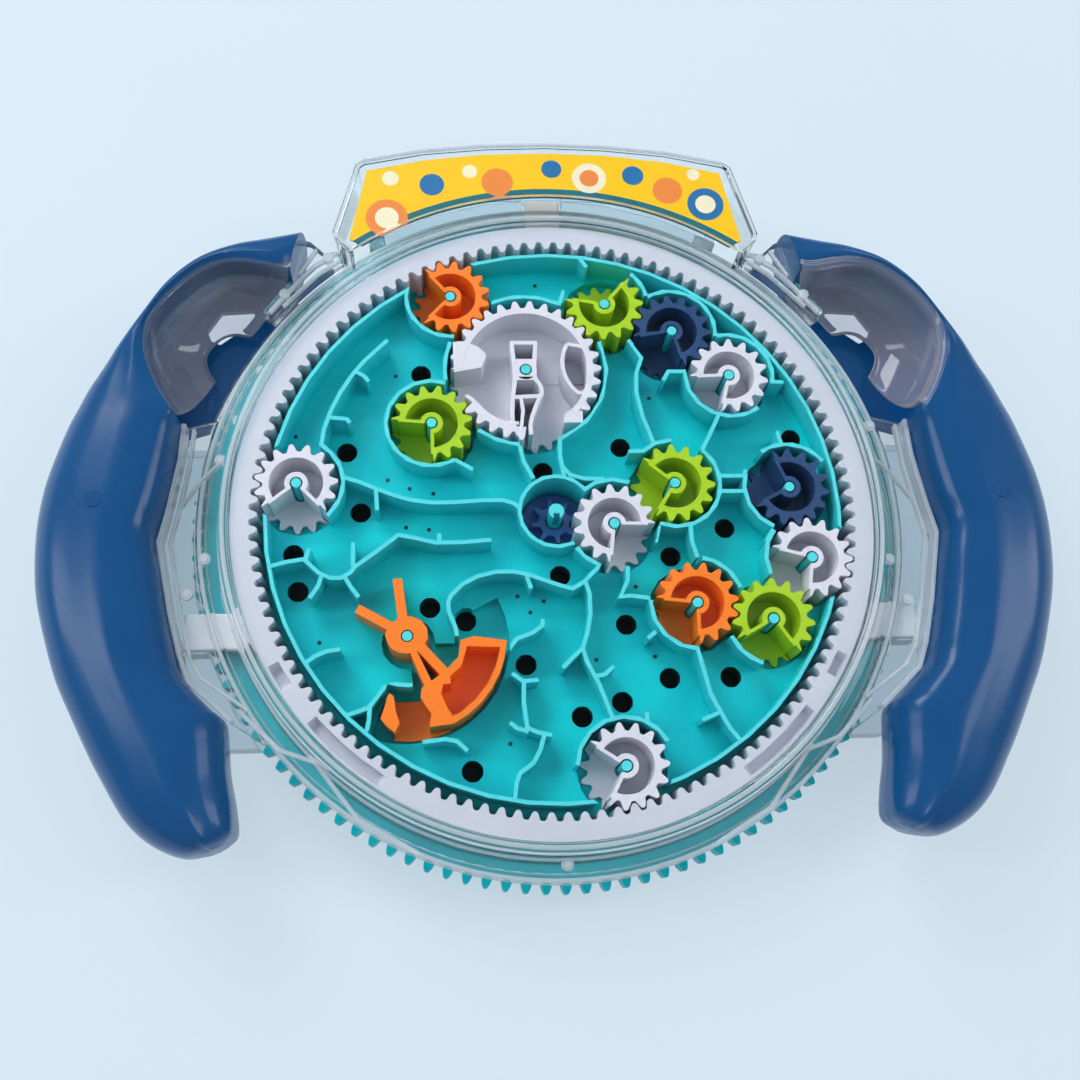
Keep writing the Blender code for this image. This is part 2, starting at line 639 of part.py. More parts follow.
ROUTES = [
    [(-27.5, 15.2), (-22.6, 12.3)],
    [(-9.5, 19.2), (-8.5, 14.5), (-6, 9.5)],
    [(3, 62.5), (4.7, 67.3)],
    [(1.8, 21.5), (1.6, 16.5), (2.5, 9.9)],
    [(2.2, 13), (4, 10.5), (8, 9.3), (13.5, 9.2)],
    [(-46, 51.5), (-52.5, 45), (-56, 40.5), (-59, 35.5), (-61.5, 30), (-63.3, 24.5), (-64, 20), (-61.5, 17.8)],
    [(-54.8, 41.8), (-52.5, 40.5), (-51.2, 38.8)],
    [(-61.8, 28), (-57, 27.5), (-56.3, 26.3)],
    [(-57.6, 10.3), (-53.5, 9), (-49, 7), (-44, 5), (-39.5, 3.6), (-34, 2.8), (-28, 2.8), (-20, 3.3),
     (-14.5, 3.3), (-11.5, 2.3), (-10, 0.8)],
    [(-49, 7), (-48.7, 0.8)],
    [(-78, -14.9), (-73, -13.5), (-68, -12.7), (-64, -16.5), (-61, -18), (-58, -18), (-55.5, -16.5),
     (-54.5, -15), (-49, -11), (-43, -6.3), (-38, -7.3), (-33, -8.6), (-26, -8.6), (-18, -8)],
    [(-67.5, -12.8), (-66.6, -9.8)],
    [(-55, -15), (-55, -8.2)],
    [(-63.3, -17.5), (-64, -20), (-66.3, -23.5)],
    [(-57, -18), (-55.5, -20.5), (-53.4, -23.4)],
    [(-32, -8.5), (-32, -6)],
    [(-67.5, -41.2), (-64.5, -39), (-61.5, -37.8), (-58, -37.3)],
    [(-56.5, -54.8), (-50.5, -52.8), (-48, -49.5), (-46.5, -47.5), (-44, -46.8), (-40, -47.3), (-37.3, -46.7)],
    [(-50.3, -52.8), (-50.5, -56), (-51.3, -60.3)],
    [(-36.8, -62), (-31, -61.4), (-28, -62), (-25.3, -64.5)],
    [(-27.5, -35), (-28, -32), (-29.7, -27.5), (-29.8, -25), (-29, -23.3), (-26, -20.3), (-22, -18.2), (-17, -17),
     (-12, -17), (-8, -18), (-4, -19.5), (0, -21), (3.5, -22), (6.5, -20.3), (10.8, -16)],
    [(-8.8, -18), (-7.6, -21.8)],
    [(-4.8, -30.3), (-5, -32), (-7.5, -33.8), (-12, -35.5), (-14, -38.2)],
    [(-13.4, -44.6), (-10.5, -46.8), (-6.5, -46.5)],
    [(-10.3, -46.8), (-10.5, -52), (-9.8, -59), (-7, -60.3), (-3.5, -61)],
    [(-9.5, -60), (-12.5, -59), (-14.3, -57.5)],
    [(-5.5, -61), (-6.5, -64.5), (-8.5, -68), (-12, -70.5), (-13, -73), (-13.6, -77.6)],
    [(7, -20), (8, -23.5), (8, -29), (7, -34), (5.5, -38.3), (2.5, -41), (0, -43.5)],
    [(5.5, -38.3), (6.5, -42), (9, -47), (10.5, -51), (12.5, -57)],
    [(8.8, -45.8), (11, -45.5), (13.5, -43.3)],
    [(21.5, -58), (21.5, -55.7)],
    [(18.7, -16), (18.5, -20), (16.3, -24.5), (19, -24.2), (24.4, -25)],
    [(36, -38.5), (37.5, -45), (38.7, -51), (41, -56), (43, -60), (46, -64)],
    [(40.5, -56.3), (36, -58)],
    [(25.2, -34.2), (23, -36)],
    [(36.7, -4.6), (36.7, -9), (38, -13.8)],
    [(26.8, -9.3), (28, -4.6)],
    [(20.8, 17.2), (24.7, 17.3)],
    [(45.5, 9.7), (52.7, 9.7), (53.5, 11.5)],
    [(45.3, 5.2), (52.6, 5.2)],
    [(63.3, 23), (64.2, 18.6)],
    [(59.5, -6), (57.5, -9.5)],
    [(38.6, 41.5), (33.5, 41.5), (31.8, 38.6)],
    [(62.6, 38.2), (66.5, 38)],
    [(47, 28), (44, 22), (41.5, 17.5)],
    [(22.6, 51.5), (26, 45.7), (24.3, 41), (24, 35), (25.3, 28), (28, 19.6)],
    [(9.6, 77.8), (11.6, 74.8)],
]

TRAPS = [
    (-36.8, 44.9), (-57.7, 21), (-53.7, 3.1), (-71.9, -8.8), (-70.4, -19.3), (-34.8, -24.4), (-25.1, -27.5),
    (-9.1, -40.7), (-24, -68.8), (-2.7, 14.6), (19.8, 21.8), (1.1, -15.9), (18.7, -30.1), (32.2, -10.9),
    (48.1, -2.8), (69.6, 24.1), (29.8, -45.2), (46.5, -45.2), (16.5, -51.4), (5.5, -55.1),
]


def plate_point(point):
    """Routes are drawn for a plate of this radius and stretch with it."""
    drawn_radius = 79.1
    return (point[0] * WHEEL_RADIUS / drawn_radius, point[1] * WHEEL_RADIUS / drawn_radius)


def maze_plate():
    """Turning plate with its walls, pockets, trap holes and gear pins."""
    pocket_radius = SMALL_TIP + POCKET_CLEARANCE
    guard = pocket_radius + WALL_WIDTH / 2 - 0.02
    sun_hole = SUN_DISC_RADIUS + SUN_HOLE_GAP
    stamps = [
        (circle(FLANGE_RADIUS, 40), POCKET),
        (circle(WHEEL_RADIUS, 48), WALL),
        (circle(WHEEL_RADIUS - 1.0, 48), FLOOR),
    ]
    for route in ROUTES:
        stamps.append((stroke([plate_point(p) for p in route], WALL_WIDTH), WALL, FLOOR))
    for name, spans in GUARDS.items():
        centre = PLACED[name][0]
        middle = guard if name != "gear_b" else BIG_TIP + POCKET_CLEARANCE + WALL_WIDTH / 2
        reach = WALL_WIDTH / 2
        for start, end in spans:
            ring = band(middle - reach - 0.3, middle + reach, start, end, 22.5, centre)
            stamps.append((ring, WALL, FLOOR))
    stamps.append((band(sun_hole, sun_hole + WALL_WIDTH, 40, 296, 25), WALL, FLOOR))
    for name in TRAIN:
        centre = PLACED[name][0]
        if name == "gear_b":
            stamps.append((circle(BIG_TIP + POCKET_CLEARANCE, 28, centre), POCKET))
        else:
            stamps.append((circle(pocket_radius, 16, centre), POCKET))
    sweep = LEVER_REACH + LEVER_PLAY
    stem_room = arc(LEVER_STEM_ROOM, -84.0, LEVER_SWING - LEVER_STEM_TURN, 16.0, LEVER_PIVOT)
    stamps += [
        (band(LEVER_STEM_ROOM - 0.4, sweep, -112.0, LEVER_SWING + 1.0, 12.0, LEVER_PIVOT), POCKET),
        ([LEVER_PIVOT] + stem_room, POCKET),
        (circle(LEVER_HUB_ROOM, 16, LEVER_PIVOT), POCKET),
    ]
    for trap in TRAPS:
        stamps.append((circle(HOLE_RADIUS, 8, plate_point(trap), 22.5), None))
    stamps.append((circle(sun_hole, 20), None))
    for name in TRAIN:
        stamps.append((circle(PIN_RADIUS, 8, PLACED[name][0], 22.5), WALL))
    stamps.append((circle(PIN_RADIUS, 8, LEVER_PIVOT, 22.5), WALL))
    add("maze_plate", terrace(stamps), TEAL)


def thumb_wheel():
    """Pan under the maze plate with the knurled edge that the thumbs turn."""
    points = []
    for i in range(THUMB_TEETH):
        middle = -90.0 + 360.0 * i / THUMB_TEETH
        base = math.degrees(THUMB_TOOTH_WIDTH / 2 / THUMB_ROOT)
        points += [polar(THUMB_ROOT, middle - base), polar(THUMB_TIP, middle), polar(THUMB_ROOT, middle + base)]
    stamps = [
        (points, (THUMB_BOTTOM, THUMB_TOP)),
        (circle(FLANGE_RADIUS + 0.6, 40), (PAN_BOTTOM, PLATE_BOTTOM - RUN_GAP)),
        (circle(SEAT_RADIUS, 40), (PAN_BOTTOM, PAN_TOP)),
        (circle(PAN_BORE, 16), None),
    ]
    add("thumb_wheel", terrace(stamps), TEAL)


def ring_gear():
    """Fixed ring with inside teeth, sunk bays between curved ribs and three lugs."""
    high = (GEAR_BOTTOM, WALL_TOP)
    lug = (GEAR_BOTTOM, LUG_TOP)
    sunk = (GEAR_BOTTOM, WALL_TOP - BAY_DEPTH)
    half = LUG_WIDTH / 2
    stamps = [
        (box(-half, RING_OUTER - 2, half, LUG_REACH), lug),
        (box(-SIDE_LUG_REACH, LUG_Y - half, -RING_OUTER + 8, LUG_Y + half), lug),
        (box(RING_OUTER - 8, LUG_Y - half, SIDE_LUG_REACH, LUG_Y + half), lug),
        (circle(RING_OUTER, 48, start=-90), high),
    ]
    for start, end in RING_BAYS:
        stamps.append((band(RING_PITCH + BAY_START, RING_OUTER - BAY_WALL, start, end, 9.0), sunk, "material"))
    stamps.append((ring_outline(), None))
    add("ring_gear", terrace(stamps), WHITE)


def sun_and_post():
    """Fixed centre pinion on its post."""
    low = PLATE_BOTTOM + 0.2
    sun = [
        (circle(SUN_DISC_RADIUS, 20), (low, POCKET_Z)),
        (gear_outline(SUN_TEETH, SUN_PHASE, ADDENDUM, SUN_DEDENDUM), (low, FLOOR_Z)),
        (circle(POST_RADIUS + RUN_GAP, 12), None),
    ]
    add("sun_pinion", terrace(sun), NAVY)
    post = [
        (circle(POST_SHOULDER, 12), (SHELL_THICKNESS + RUN_GAP, low - RUN_GAP)),
        (circle(POST_RADIUS, 12), (SHELL_THICKNESS + RUN_GAP, WALL_TOP)),
        (box(-0.8, -3.0, 0.8, -0.7), (SHELL_THICKNESS + RUN_GAP, FLOOR_Z + 1.0), (SHELL_THICKNESS + RUN_GAP, WALL_TOP)),
    ]
    add("centre_post", terrace(post), TEAL)


# Grips: cross sections of the left one, from the banner end to the tip of the horn.
# Each names the outer edge, the inner edge, how far the front rounds over from the outer
# and from the inner edge, and how much of the full height it has.  Points are
# (distance past the skirt, height on the page), so that both grips hug the drum.

SCOOP_SECTIONS = [
    ((-27.8, 85.6), (-24.6, 71.4), 5.0, 1.2, 0.86), ((-18.3, 83.6), (-21.0, 71.0), 6.0, 1.2, 0.95),
    ((-8.9, 80.8), (-10.0, 72.6), 4.6, 1.0, 0.98), ((1.1, 75.9), (-1.3, 70.2), 3.6, 1.0, 1.0),
    ((9.1, 68.5), (7.2, 62.9), 3.4, 1.0, 1.0), ((16.2, 58.3), (12.6, 54.5), 3.4, 1.0, 1.0),
    ((23.1, 47.9), (13.6, 48.0), 5.6, 1.0, 1.0), ((26.8, 42.2), (12.4, 41.7), 8.5, 1.0, 1.0),
    ((30.4, 36.5), (9.1, 34.1), 11.0, 1.2, 1.0), ((33.2, 30.5), (5.2, 28.0), 13.0, 1.6, 1.0),
]
PALM_SECTIONS = [
    ((35.7, 24.5), (5.6, 22.5), 14.0, 4.0, 1.0), ((39.3, 12.3), (6.8, 10.5), 15.0, 6.0, 1.0),
    ((40.7, 4.5), (8.4, 2.1), 15.0, 6.0, 1.0), ((41.3, -3.4), (10.2, -6.1), 15.0, 6.0, 1.0),
    ((41.0, -13.0), (8.3, -15.5), 15.0, 6.5, 1.0), ((39.8, -22.2), (6.3, -25.7), 15.0, 7.0, 1.0),
    ((37.0, -32.5), (3.1, -37.7), 14.5, 7.5, 1.0), ((33.2, -43.7), (0.5, -44.4), 14.0, 8.0, 1.0),
    ((28.7, -53.0), (-6.3, -51.6), 13.0, 9.0, 1.0), ((23.7, -62.8), (-9.8, -54.8), 12.0, 9.0, 1.0),
    ((20.3, -68.8), (-10.7, -60.5), 12.0, 9.0, 1.0), ((13.9, -79.0), (-11.6, -68.5), 11.0, 9.0, 0.99),
    ((7.2, -85.3), (-13.2, -76.5), 10.0, 8.0, 0.95), ((-0.7, -88.9), (-13.7, -83.2), 6.5, 5.0, 0.8),
    ((-6.3, -88.6), (-11.6, -86.2), 2.6, 2.0, 0.45),
]
PLATE_EDGE = [
    (0.5, -44.4), (3.1, -37.7), (6.3, -25.7), (10.2, -6.1), (8.4, 2.1), (5.8, 17.3), (5.2, 28.0),
]
SCOOP_CENTRE = (-5.8, 52.0)


def beside(point):
    """Place of a point given by its distance past the skirt, on the left."""
    return (-SKIRT_RADIUS - point[0], point[1])


def grip_section(outer, inner, turn_out, turn_in, share, front, ledge):
    """Closed section: parting face, outer round, crowned face, inner round, side wall."""
    start = Vector(beside(outer))
    across = Vector(beside(inner)) - start
    width = across.length
    across.normalize()
    full = (GRIP_HALF_HEIGHT - GRIP_GAP / 2) * share
    edge = full - GRIP_CROWN
    profile = [(turn_out * (1 - math.cos(a)), edge * math.sin(a)) for a in (0.0, 0.42, 0.84, 1.22)]
    profile += [(turn_out, edge), ((turn_out + width - turn_in) / 2, full)]
    profile += [(width - turn_in * (1 - math.cos(a)), edge - turn_in * (1 - math.sin(a))) for a in (1.571, 0.75, 0.0)]
    if not front:
        drop = LEDGE_DROP * share
        foot = Vector(beside(inner)).normalized() * ledge if ledge else None
        reach = (foot - start).dot(across) if ledge else width + LEDGE_FOOT
        profile = profile[:6] + [(reach, edge), (reach, drop), (width, drop)]
    profile.append((width, 0.0))
    sign = 1 if front else -1
    points = []
    for distance, height in profile:
        place = start + across * distance
        points.append((place.x, place.y, GRIP_PARTING + sign * (GRIP_GAP / 2 + height)))
    return points


def grip_half(name, side, front):
    """Rounded half of a grip; the back one has a ledge under the thumb bowl."""
    rings = [grip_section(*section, front, THUMB_CLEAR) for section in SCOOP_SECTIONS]
    rings += [grip_section(*section, front, 0.0) for section in PALM_SECTIONS]
    rings = [[(-side * x, y, z) for x, y, z in ring] for ring in rings]
    add(name, loft(rings), BLUE, smooth=40.0)


def thumb_scoop(name, side):
    """Clear bowl in the notch of a grip, open to the knurled edge."""
    scales = [0.985, 0.93, 0.8, 0.58, 0.3]
    heights = [32.0, 24.5, 19.2, 16.6, 15.8]
    outline = [beside(PLATE_EDGE[-1])] + [beside(section[1]) for section in reversed(SCOOP_SECTIONS[1:-1])]
    middle = Vector(beside(SCOOP_CENTRE))

    def surface(grow, drop):
        rows = []
        for scale, height in zip(scales, heights):
            row = []
            for x, y in outline:
                point = middle + (Vector((x, y)) - middle) * scale
                out = (Vector((x, y)) - middle).normalized() * grow
                row.append((-side * (point.x + out.x), point.y + out.y, height - drop))
            rows.append(row)
        return rows

    inside = surface(-BOWL_THICKNESS, 0.0)
    outside = surface(-0.1, BOWL_THICKNESS)
    outside[0] = [(x, y, heights[0]) for x, y, _ in outside[0]]
    mesh = bmesh.new()
    top = [[mesh.verts.new(Vector(p) * MM) for p in row] for row in inside]
    low = [[mesh.verts.new(Vector(p) * MM) for p in row] for row in outside]
    last = len(outline) - 1
    for a in range(len(scales) - 1):
        for i in range(last):
            mesh.faces.new([top[a][i], top[a][i + 1], top[a + 1][i + 1], top[a + 1][i]])
            mesh.faces.new([low[a][i], low[a + 1][i], low[a + 1][i + 1], low[a][i + 1]])
        for i in (0, last):
            mesh.faces.new([top[a][i], top[a + 1][i], low[a + 1][i], low[a][i]])
    for i in range(last):
        for a in (0, len(scales) - 1):
            mesh.faces.new([top[a][i], top[a][i + 1], low[a][i + 1], low[a][i]])
    bmesh.ops.triangulate(mesh, faces=mesh.faces)
    add(name, mesh, CLEAR, smooth=50.0)


def clear_cover():
    """Window, drum wall, deck with side plates, ribs and skirt in one clear piece."""
    deck = (DECK_BOTTOM, DECK_TOP)
    edge = [beside((x - RUN_GAP, y)) for x, y in PLATE_EDGE]
    plate = [(-70.0, -62.0), beside((-9.8, -53.6))] + edge + [(-84.0, 45.0), (-60.0, 20.0)]
    rib = (DECK_BOTTOM, DECK_TOP + 3.0)
    half = LUG_WIDTH / 2 + 0.8
    stamps = [(plate, deck), (mirror(plate), deck)]
    stamps += [
        (circle(SKIRT_RADIUS, 48, start=-90), (SKIRT_BOTTOM, DECK_TOP)),
        (circle(SKIRT_RADIUS - SKIRT_WIDTH, 48, start=-90), deck),
    ]
    for line in ([(-66.0, -64.0), (-53.5, -80.5)], [(-64.0, -66.0), (-73.5, -62.6)]):
        stamps.append((stroke(line, 1.4), rib, deck))
        stamps.append((mirror(stroke(line, 1.4)), rib, deck))
    stamps += [
        (box(-half, DRUM_OUTER + 1, half, SKIRT_RADIUS + 1), deck, "material"),
        (box(-SKIRT_RADIUS, LUG_Y - half, -DRUM_OUTER + 8, LUG_Y + half), deck, "material"),
        (box(DRUM_OUTER - 8, LUG_Y - half, SKIRT_RADIUS, LUG_Y + half), deck, "material"),
        (circle(DRUM_OUTER, 48, start=-90), (DECK_BOTTOM, WINDOW_TOP)),
        (circle(DRUM_INNER, 48, start=-90), (WINDOW_BOTTOM, WINDOW_TOP)),
    ]
    add("clear_cover", terrace(stamps), CLEAR)


# Banner: each outline is the right half of it, from the top middle to the lower corner.
# Points are (turn from the top in degrees, distance past the skirt).

BANNER_OUTLINE = [(0.0, BANNER_PAST_SKIRT), (9.2, 14.7), (18.2, 17.2), (26.8, 20.8), (36.8, 4.6), (36.1, 1.0)]
LABEL_OUTLINE = [(0.0, 11.2), (9.4, 12.1), (18.2, 14.2), (26.7, 16.4), (33.9, 3.7), (33.0, 0.7)]
BLOCK_OUTLINE = [(0.0, 11.8), (9.4, 12.7), (18.6, 15.1), (26.8, 17.6), (40.9, -18.4)]


def over_drum(points):
    """Full outline over the top of the drum from its right half."""
    right = [polar(SKIRT_RADIUS + past, 90.0 - turn) for turn, past in points]
    left = [(-x, y) for x, y in reversed(right[1:])]
    return left + right


def banner():
    """Clear frame over the printed card, on the upper edge of the housing."""
    foot = arc(SKIRT_RADIUS + BANNER_FOOT, 90.0 - BANNER_TURN, 90.0 + BANNER_TURN, 8.0)
    label_foot = arc(SKIRT_RADIUS + LABEL_FOOT, 90.0 - LABEL_TURN, 90.0 + LABEL_TURN, 8.0)
    frame_outline = over_drum(BANNER_OUTLINE) + foot
    room = over_drum(LABEL_OUTLINE) + label_foot
    label = inset(room, RUN_GAP)
    plate_bottom = BANNER_FRONT - BANNER_PLATE
    stamps = [
        (frame_outline, (DECK_TOP + RUN_GAP, BANNER_FRONT)),
        (room, (plate_bottom, BANNER_FRONT), "material"),
    ]
    add("banner_frame", terrace(stamps), CLEAR)
    card_top = plate_bottom - 0.2
    add("banner_label", terrace([(label, (card_top - LABEL_THICKNESS, card_top))]), YELLOW)


def back_shell():
    """Clear back with a bearing rib, wings under the grips, and posts for the lugs."""
    floor = (0.0, SHELL_THICKNESS)
    pad = (0.0, GRIP_PARTING - GRIP_HALF_HEIGHT - RUN_GAP)
    post = (0.0, GEAR_BOTTOM - RUN_GAP)
    wing = [(-60.0, -60.0), beside((-5.8, -60.0)), beside((10.2, -46.0)), beside((20.2, -20.0)),
            beside((21.2, 5.0)), beside((17.2, 26.0)), beside((-5.8, 26.0)), (-60.0, 40.0)]
    half = LUG_WIDTH / 2
    room = half + 0.8
    stamps = [
        (wing, pad), (mirror(wing), pad),
        (over_drum(BLOCK_OUTLINE), (0.0, DECK_TOP)),
        (box(-room, THUMB_CLEAR - 5, room, LUG_REACH + 1.5), post, (0.0, DECK_TOP)),
        (box(-SIDE_LUG_REACH, LUG_Y - half, -THUMB_CLEAR + 8, LUG_Y + half), post, pad),
        (box(THUMB_CLEAR - 8, LUG_Y - half, SIDE_LUG_REACH, LUG_Y + half), post, pad),
        (circle(THUMB_CLEAR, 36), floor, "material"),
        (circle(SHELL_RADIUS, 36), floor),
        (circle(RIB_RADIUS, 30), (0.0, PAN_BOTTOM - RUN_GAP)),
        (circle(RIB_RADIUS - RIB_WIDTH, 30), floor),
    ]
    add("back_shell", terrace(stamps), CLEAR)


def ball():
    """Loose steel ball in the return space under the maze floor."""
    radius = BALL_DIAMETER / 2
    centre = (20.0, -40.0)
    low = PAN_TOP + 0.1
    profile = [(radius * math.sin(math.pi * i / 8), low + radius * (1 - math.cos(math.pi * i / 8))) for i in range(9)]
    profile[0] = (0, profile[0][1])
    profile[-1] = (0, profile[-1][1])
    add("steel_ball", revolve(profile, 12, centre), STEEL, smooth=80.0)


for gear in TRAIN:
    if gear == "gear_b":
        big_gear()
    else:
        small_gear(gear)
lever()
maze_plate()
thumb_wheel()
ring_gear()
sun_and_post()
for side, word in ((-1, "left"), (1, "right")):
    grip_half(word + "_grip_front", side, True)
    grip_half(word + "_grip_back", side, False)
    thumb_scoop(word + "_thumb_scoop", side)
clear_cover()
banner()
back_shell()
ball()
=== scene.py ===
# %% [markdown]
# The frame: every solid of the gear maze puzzle is loaded at its real size and place.
# The looks are laid over it, so nothing here is moved or resized.

# %% Load the solids
import math
import bmesh
import bpy
from mathutils import Matrix, Vector


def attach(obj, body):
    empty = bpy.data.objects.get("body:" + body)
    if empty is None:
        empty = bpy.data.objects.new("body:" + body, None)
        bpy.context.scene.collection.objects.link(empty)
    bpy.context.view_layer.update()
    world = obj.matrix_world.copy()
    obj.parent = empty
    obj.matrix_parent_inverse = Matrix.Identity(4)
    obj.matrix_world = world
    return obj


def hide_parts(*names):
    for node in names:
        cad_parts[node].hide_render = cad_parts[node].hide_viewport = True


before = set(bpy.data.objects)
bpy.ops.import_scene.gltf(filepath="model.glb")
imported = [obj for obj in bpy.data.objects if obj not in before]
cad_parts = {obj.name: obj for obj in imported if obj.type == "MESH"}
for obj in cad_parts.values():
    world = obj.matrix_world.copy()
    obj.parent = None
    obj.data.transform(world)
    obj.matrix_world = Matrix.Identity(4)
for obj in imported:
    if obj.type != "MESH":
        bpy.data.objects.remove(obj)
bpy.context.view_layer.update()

MM = 0.001
AXIS_Y = -5.6
WALL_TOP = 28.0
FLOOR_Z = 19.0

# %% [markdown]
# The camera looks down at the toy from below its middle and a little to the left, at the
# height and turn from which the round window, the ring teeth and both grips line up with the
# reference view.

# %% Camera
camera_data = bpy.data.cameras.new("camera")
camera_data.lens = 41.24
camera_data.sensor_width = 36.0
camera_data.clip_end = 20.0
camera = bpy.data.objects.new("camera", camera_data)
bpy.context.scene.collection.objects.link(camera)
right = Vector((0.99736, -0.03404, 0.06408)).normalized()
upward = Vector((0.01346, 0.95459, 0.29763))
upward = (upward - right * upward.dot(right)).normalized()
backward = right.cross(upward)
turn = Matrix((right, upward, backward)).transposed().to_4x4()
stand = Vector((-28.691, -107.399 + AXIS_Y, 319.122 + WALL_TOP)) * MM
camera.matrix_world = Matrix.Translation(stand) @ turn
bpy.context.scene.camera = camera
bpy.context.scene.view_settings.view_transform = "Standard"
print("camera at", [round(v, 3) for v in camera.location])

# %% [markdown]
# Socket values are set in one call, so that a material reads like a short recipe:
# the name of the socket and what goes in it, a value or the output of another node.

# %% Small helpers for node trees


def linear(code):
    """Turn a colour written as six hex digits into the numbers a shader works with."""
    parts = [int(code[i:i + 2], 16) / 255 for i in (0, 2, 4)]
    return tuple([((p + 0.055) / 1.055) ** 2.4 if p > 0.04045 else p / 12.92 for p in parts] + [1.0])


def node(tree, kind, settings=None, **inputs):
    """Add a node, set its options and fill or link its input sockets by name."""
    made = tree.nodes.new(kind)
    for key, value in (settings or {}).items():
        setattr(made, key, value)
    for key, value in inputs.items():
        numbered = key[0] == "i" and key[1:].isdigit()
        socket = made.inputs[int(key[1:])] if numbered else made.inputs[key.replace("_", " ")]
        if isinstance(value, bpy.types.NodeSocket):
            tree.links.new(value, socket)
        else:
            socket.default_value = value
    return made


def math_node(tree, operation, first, second=0.0, third=0.0):
    """One arithmetic step on a value."""
    return node(tree, "ShaderNodeMath", {"operation": operation}, i0=first, i1=second, i2=third).outputs[0]


def mix_colour(tree, amount, first, second):
    """Blend of two colours."""
    made = node(tree, "ShaderNodeMix", {"data_type": "RGBA"})
    for index, value in ((0, amount), (6, first), (7, second)):
        if isinstance(value, bpy.types.NodeSocket):
            tree.links.new(value, made.inputs[index])
        else:
            made.inputs[index].default_value = value
    return made.outputs[2]


def new_group(name, inputs, outputs):
    """Empty node group with named sockets; inputs are (name, type, value)."""
    tree = bpy.data.node_groups.new(name, "ShaderNodeTree")
    for title, kind, value in inputs:
        socket = tree.interface.new_socket(title, in_out="INPUT", socket_type=kind)
        socket.default_value = value
    for title, kind in outputs:
        tree.interface.new_socket(title, in_out="OUTPUT", socket_type=kind)
    return tree, tree.nodes.new("NodeGroupInput").outputs, tree.nodes.new("NodeGroupOutput").inputs


def new_material(name):
    """Material with an empty Principled shader."""
    made = bpy.data.materials.new(name)
    made.use_nodes = True
    return made, made.node_tree, made.node_tree.nodes["Principled BSDF"]


def object_place(tree):
    """Position on the piece itself, in metres."""
    return node(tree, "ShaderNodeTexCoord").outputs["Object"]


def noise(tree, place, scale, detail=2.0, **more):
    """Cloudy value between 0 and 1."""
    made = node(tree, "ShaderNodeTexNoise", Vector=place, Scale=scale, Detail=detail, **more)
    return made.outputs["Fac"]


def map_range(tree, value, low, high, to_low, to_high, options=None):
    """Value carried from one range to another and held inside it."""
    made = node(tree, "ShaderNodeMapRange", options, Value=value, i1=low, i2=high, i3=to_low, i4=to_high)
    return made.outputs[0]


def relief(tree, shader, strength, depth, height):
    """Very shallow bump from a height value."""
    bump = node(tree, "ShaderNodeBump", Strength=strength, Distance=depth, Height=height)
    tree.links.new(bump.outputs[0], shader.inputs["Normal"])


print("helpers ready")

# %% [markdown]
# Moulded plastic is never quite even.  The melt leaves slow, cloudy changes of tone where
# it flowed, and the steel of the mould leaves a fine grain.  One group makes both, so each
# plastic only chooses its colour, its gloss and how strong the clouds and the grain are.

# %% Node group: moulded plastic
plastic, taken, given = new_group(
    "moulded_plastic",
    [("Colour", "NodeSocketColor", (0.5, 0.5, 0.5, 1)), ("Clouds", "NodeSocketFloat", 0.12),
     ("Cloud Size", "NodeSocketFloat", 60.0), ("Gloss Low", "NodeSocketFloat", 0.3),
     ("Gloss High", "NodeSocketFloat", 0.42), ("Grain Size", "NodeSocketFloat", 2500.0)],
    [("Colour", "NodeSocketColor"), ("Roughness", "NodeSocketFloat"), ("Height", "NodeSocketFloat")])
place = object_place(plastic)
clouds = noise(plastic, place, taken["Cloud Size"], 3.0, Roughness=0.55)
shade = math_node(plastic, "MULTIPLY_ADD", clouds, taken["Clouds"], 1.0)
shade = math_node(plastic, "SUBTRACT", shade, math_node(plastic, "MULTIPLY", taken["Clouds"], 0.5))
toned = node(plastic, "ShaderNodeVectorMath", {"operation": "SCALE"}, i0=taken["Colour"], i3=shade)
grain = noise(plastic, place, taken["Grain Size"])
spread = map_range(plastic, clouds, 0.3, 0.7, taken["Gloss Low"], taken["Gloss High"])
plastic.links.new(toned.outputs[0], given["Colour"])
plastic.links.new(spread, given["Roughness"])
plastic.links.new(grain, given["Height"])
print("group:", plastic.name)

# %% [markdown]
# Handling rubs fine hair scratches into every clear or glossy face.  They are long, thin
# and run in all directions, which a stretched wave bent by noise copies well.

# %% Node group: hair scratches
scratch, taken, given = new_group(
    "hair_scratches", [("Scale", "NodeSocketFloat", 90.0), ("Strength", "NodeSocketFloat", 0.1)],
    [("Mask", "NodeSocketFloat")])
place = object_place(scratch)
bend = noise(scratch, place, taken["Scale"], 1.0)
lines = node(scratch, "ShaderNodeTexWave", {"bands_direction": "DIAGONAL"}, Vector=place,
             Scale=taken["Scale"], Distortion=4.0, Detail=1.0)
thin = math_node(scratch, "POWER", lines.outputs["Fac"], 24.0)
patch = math_node(scratch, "GREATER_THAN", bend, 0.56)
mask = math_node(scratch, "MULTIPLY", math_node(scratch, "MULTIPLY", thin, patch), taken["Strength"])
scratch.links.new(mask, given["Mask"])


def scratched(tree, shader, scale, strength, roughness):
    """Roughness with hair scratches laid over it."""
    hair = node(tree, "ShaderNodeGroup", {"node_tree": scratch}, Scale=scale, Strength=strength)
    tree.links.new(math_node(tree, "ADD", hair.outputs["Mask"], roughness), shader.inputs["Roughness"])


print("group:", scratch.name)

# %% [markdown]
# All opaque plastics share one recipe: the moulded group feeds colour, roughness and a very
# shallow bump, and the scratches lift the roughness a little where hands touch.

# %% Opaque plastics
GRAIN_DEPTH = 0.01 * MM


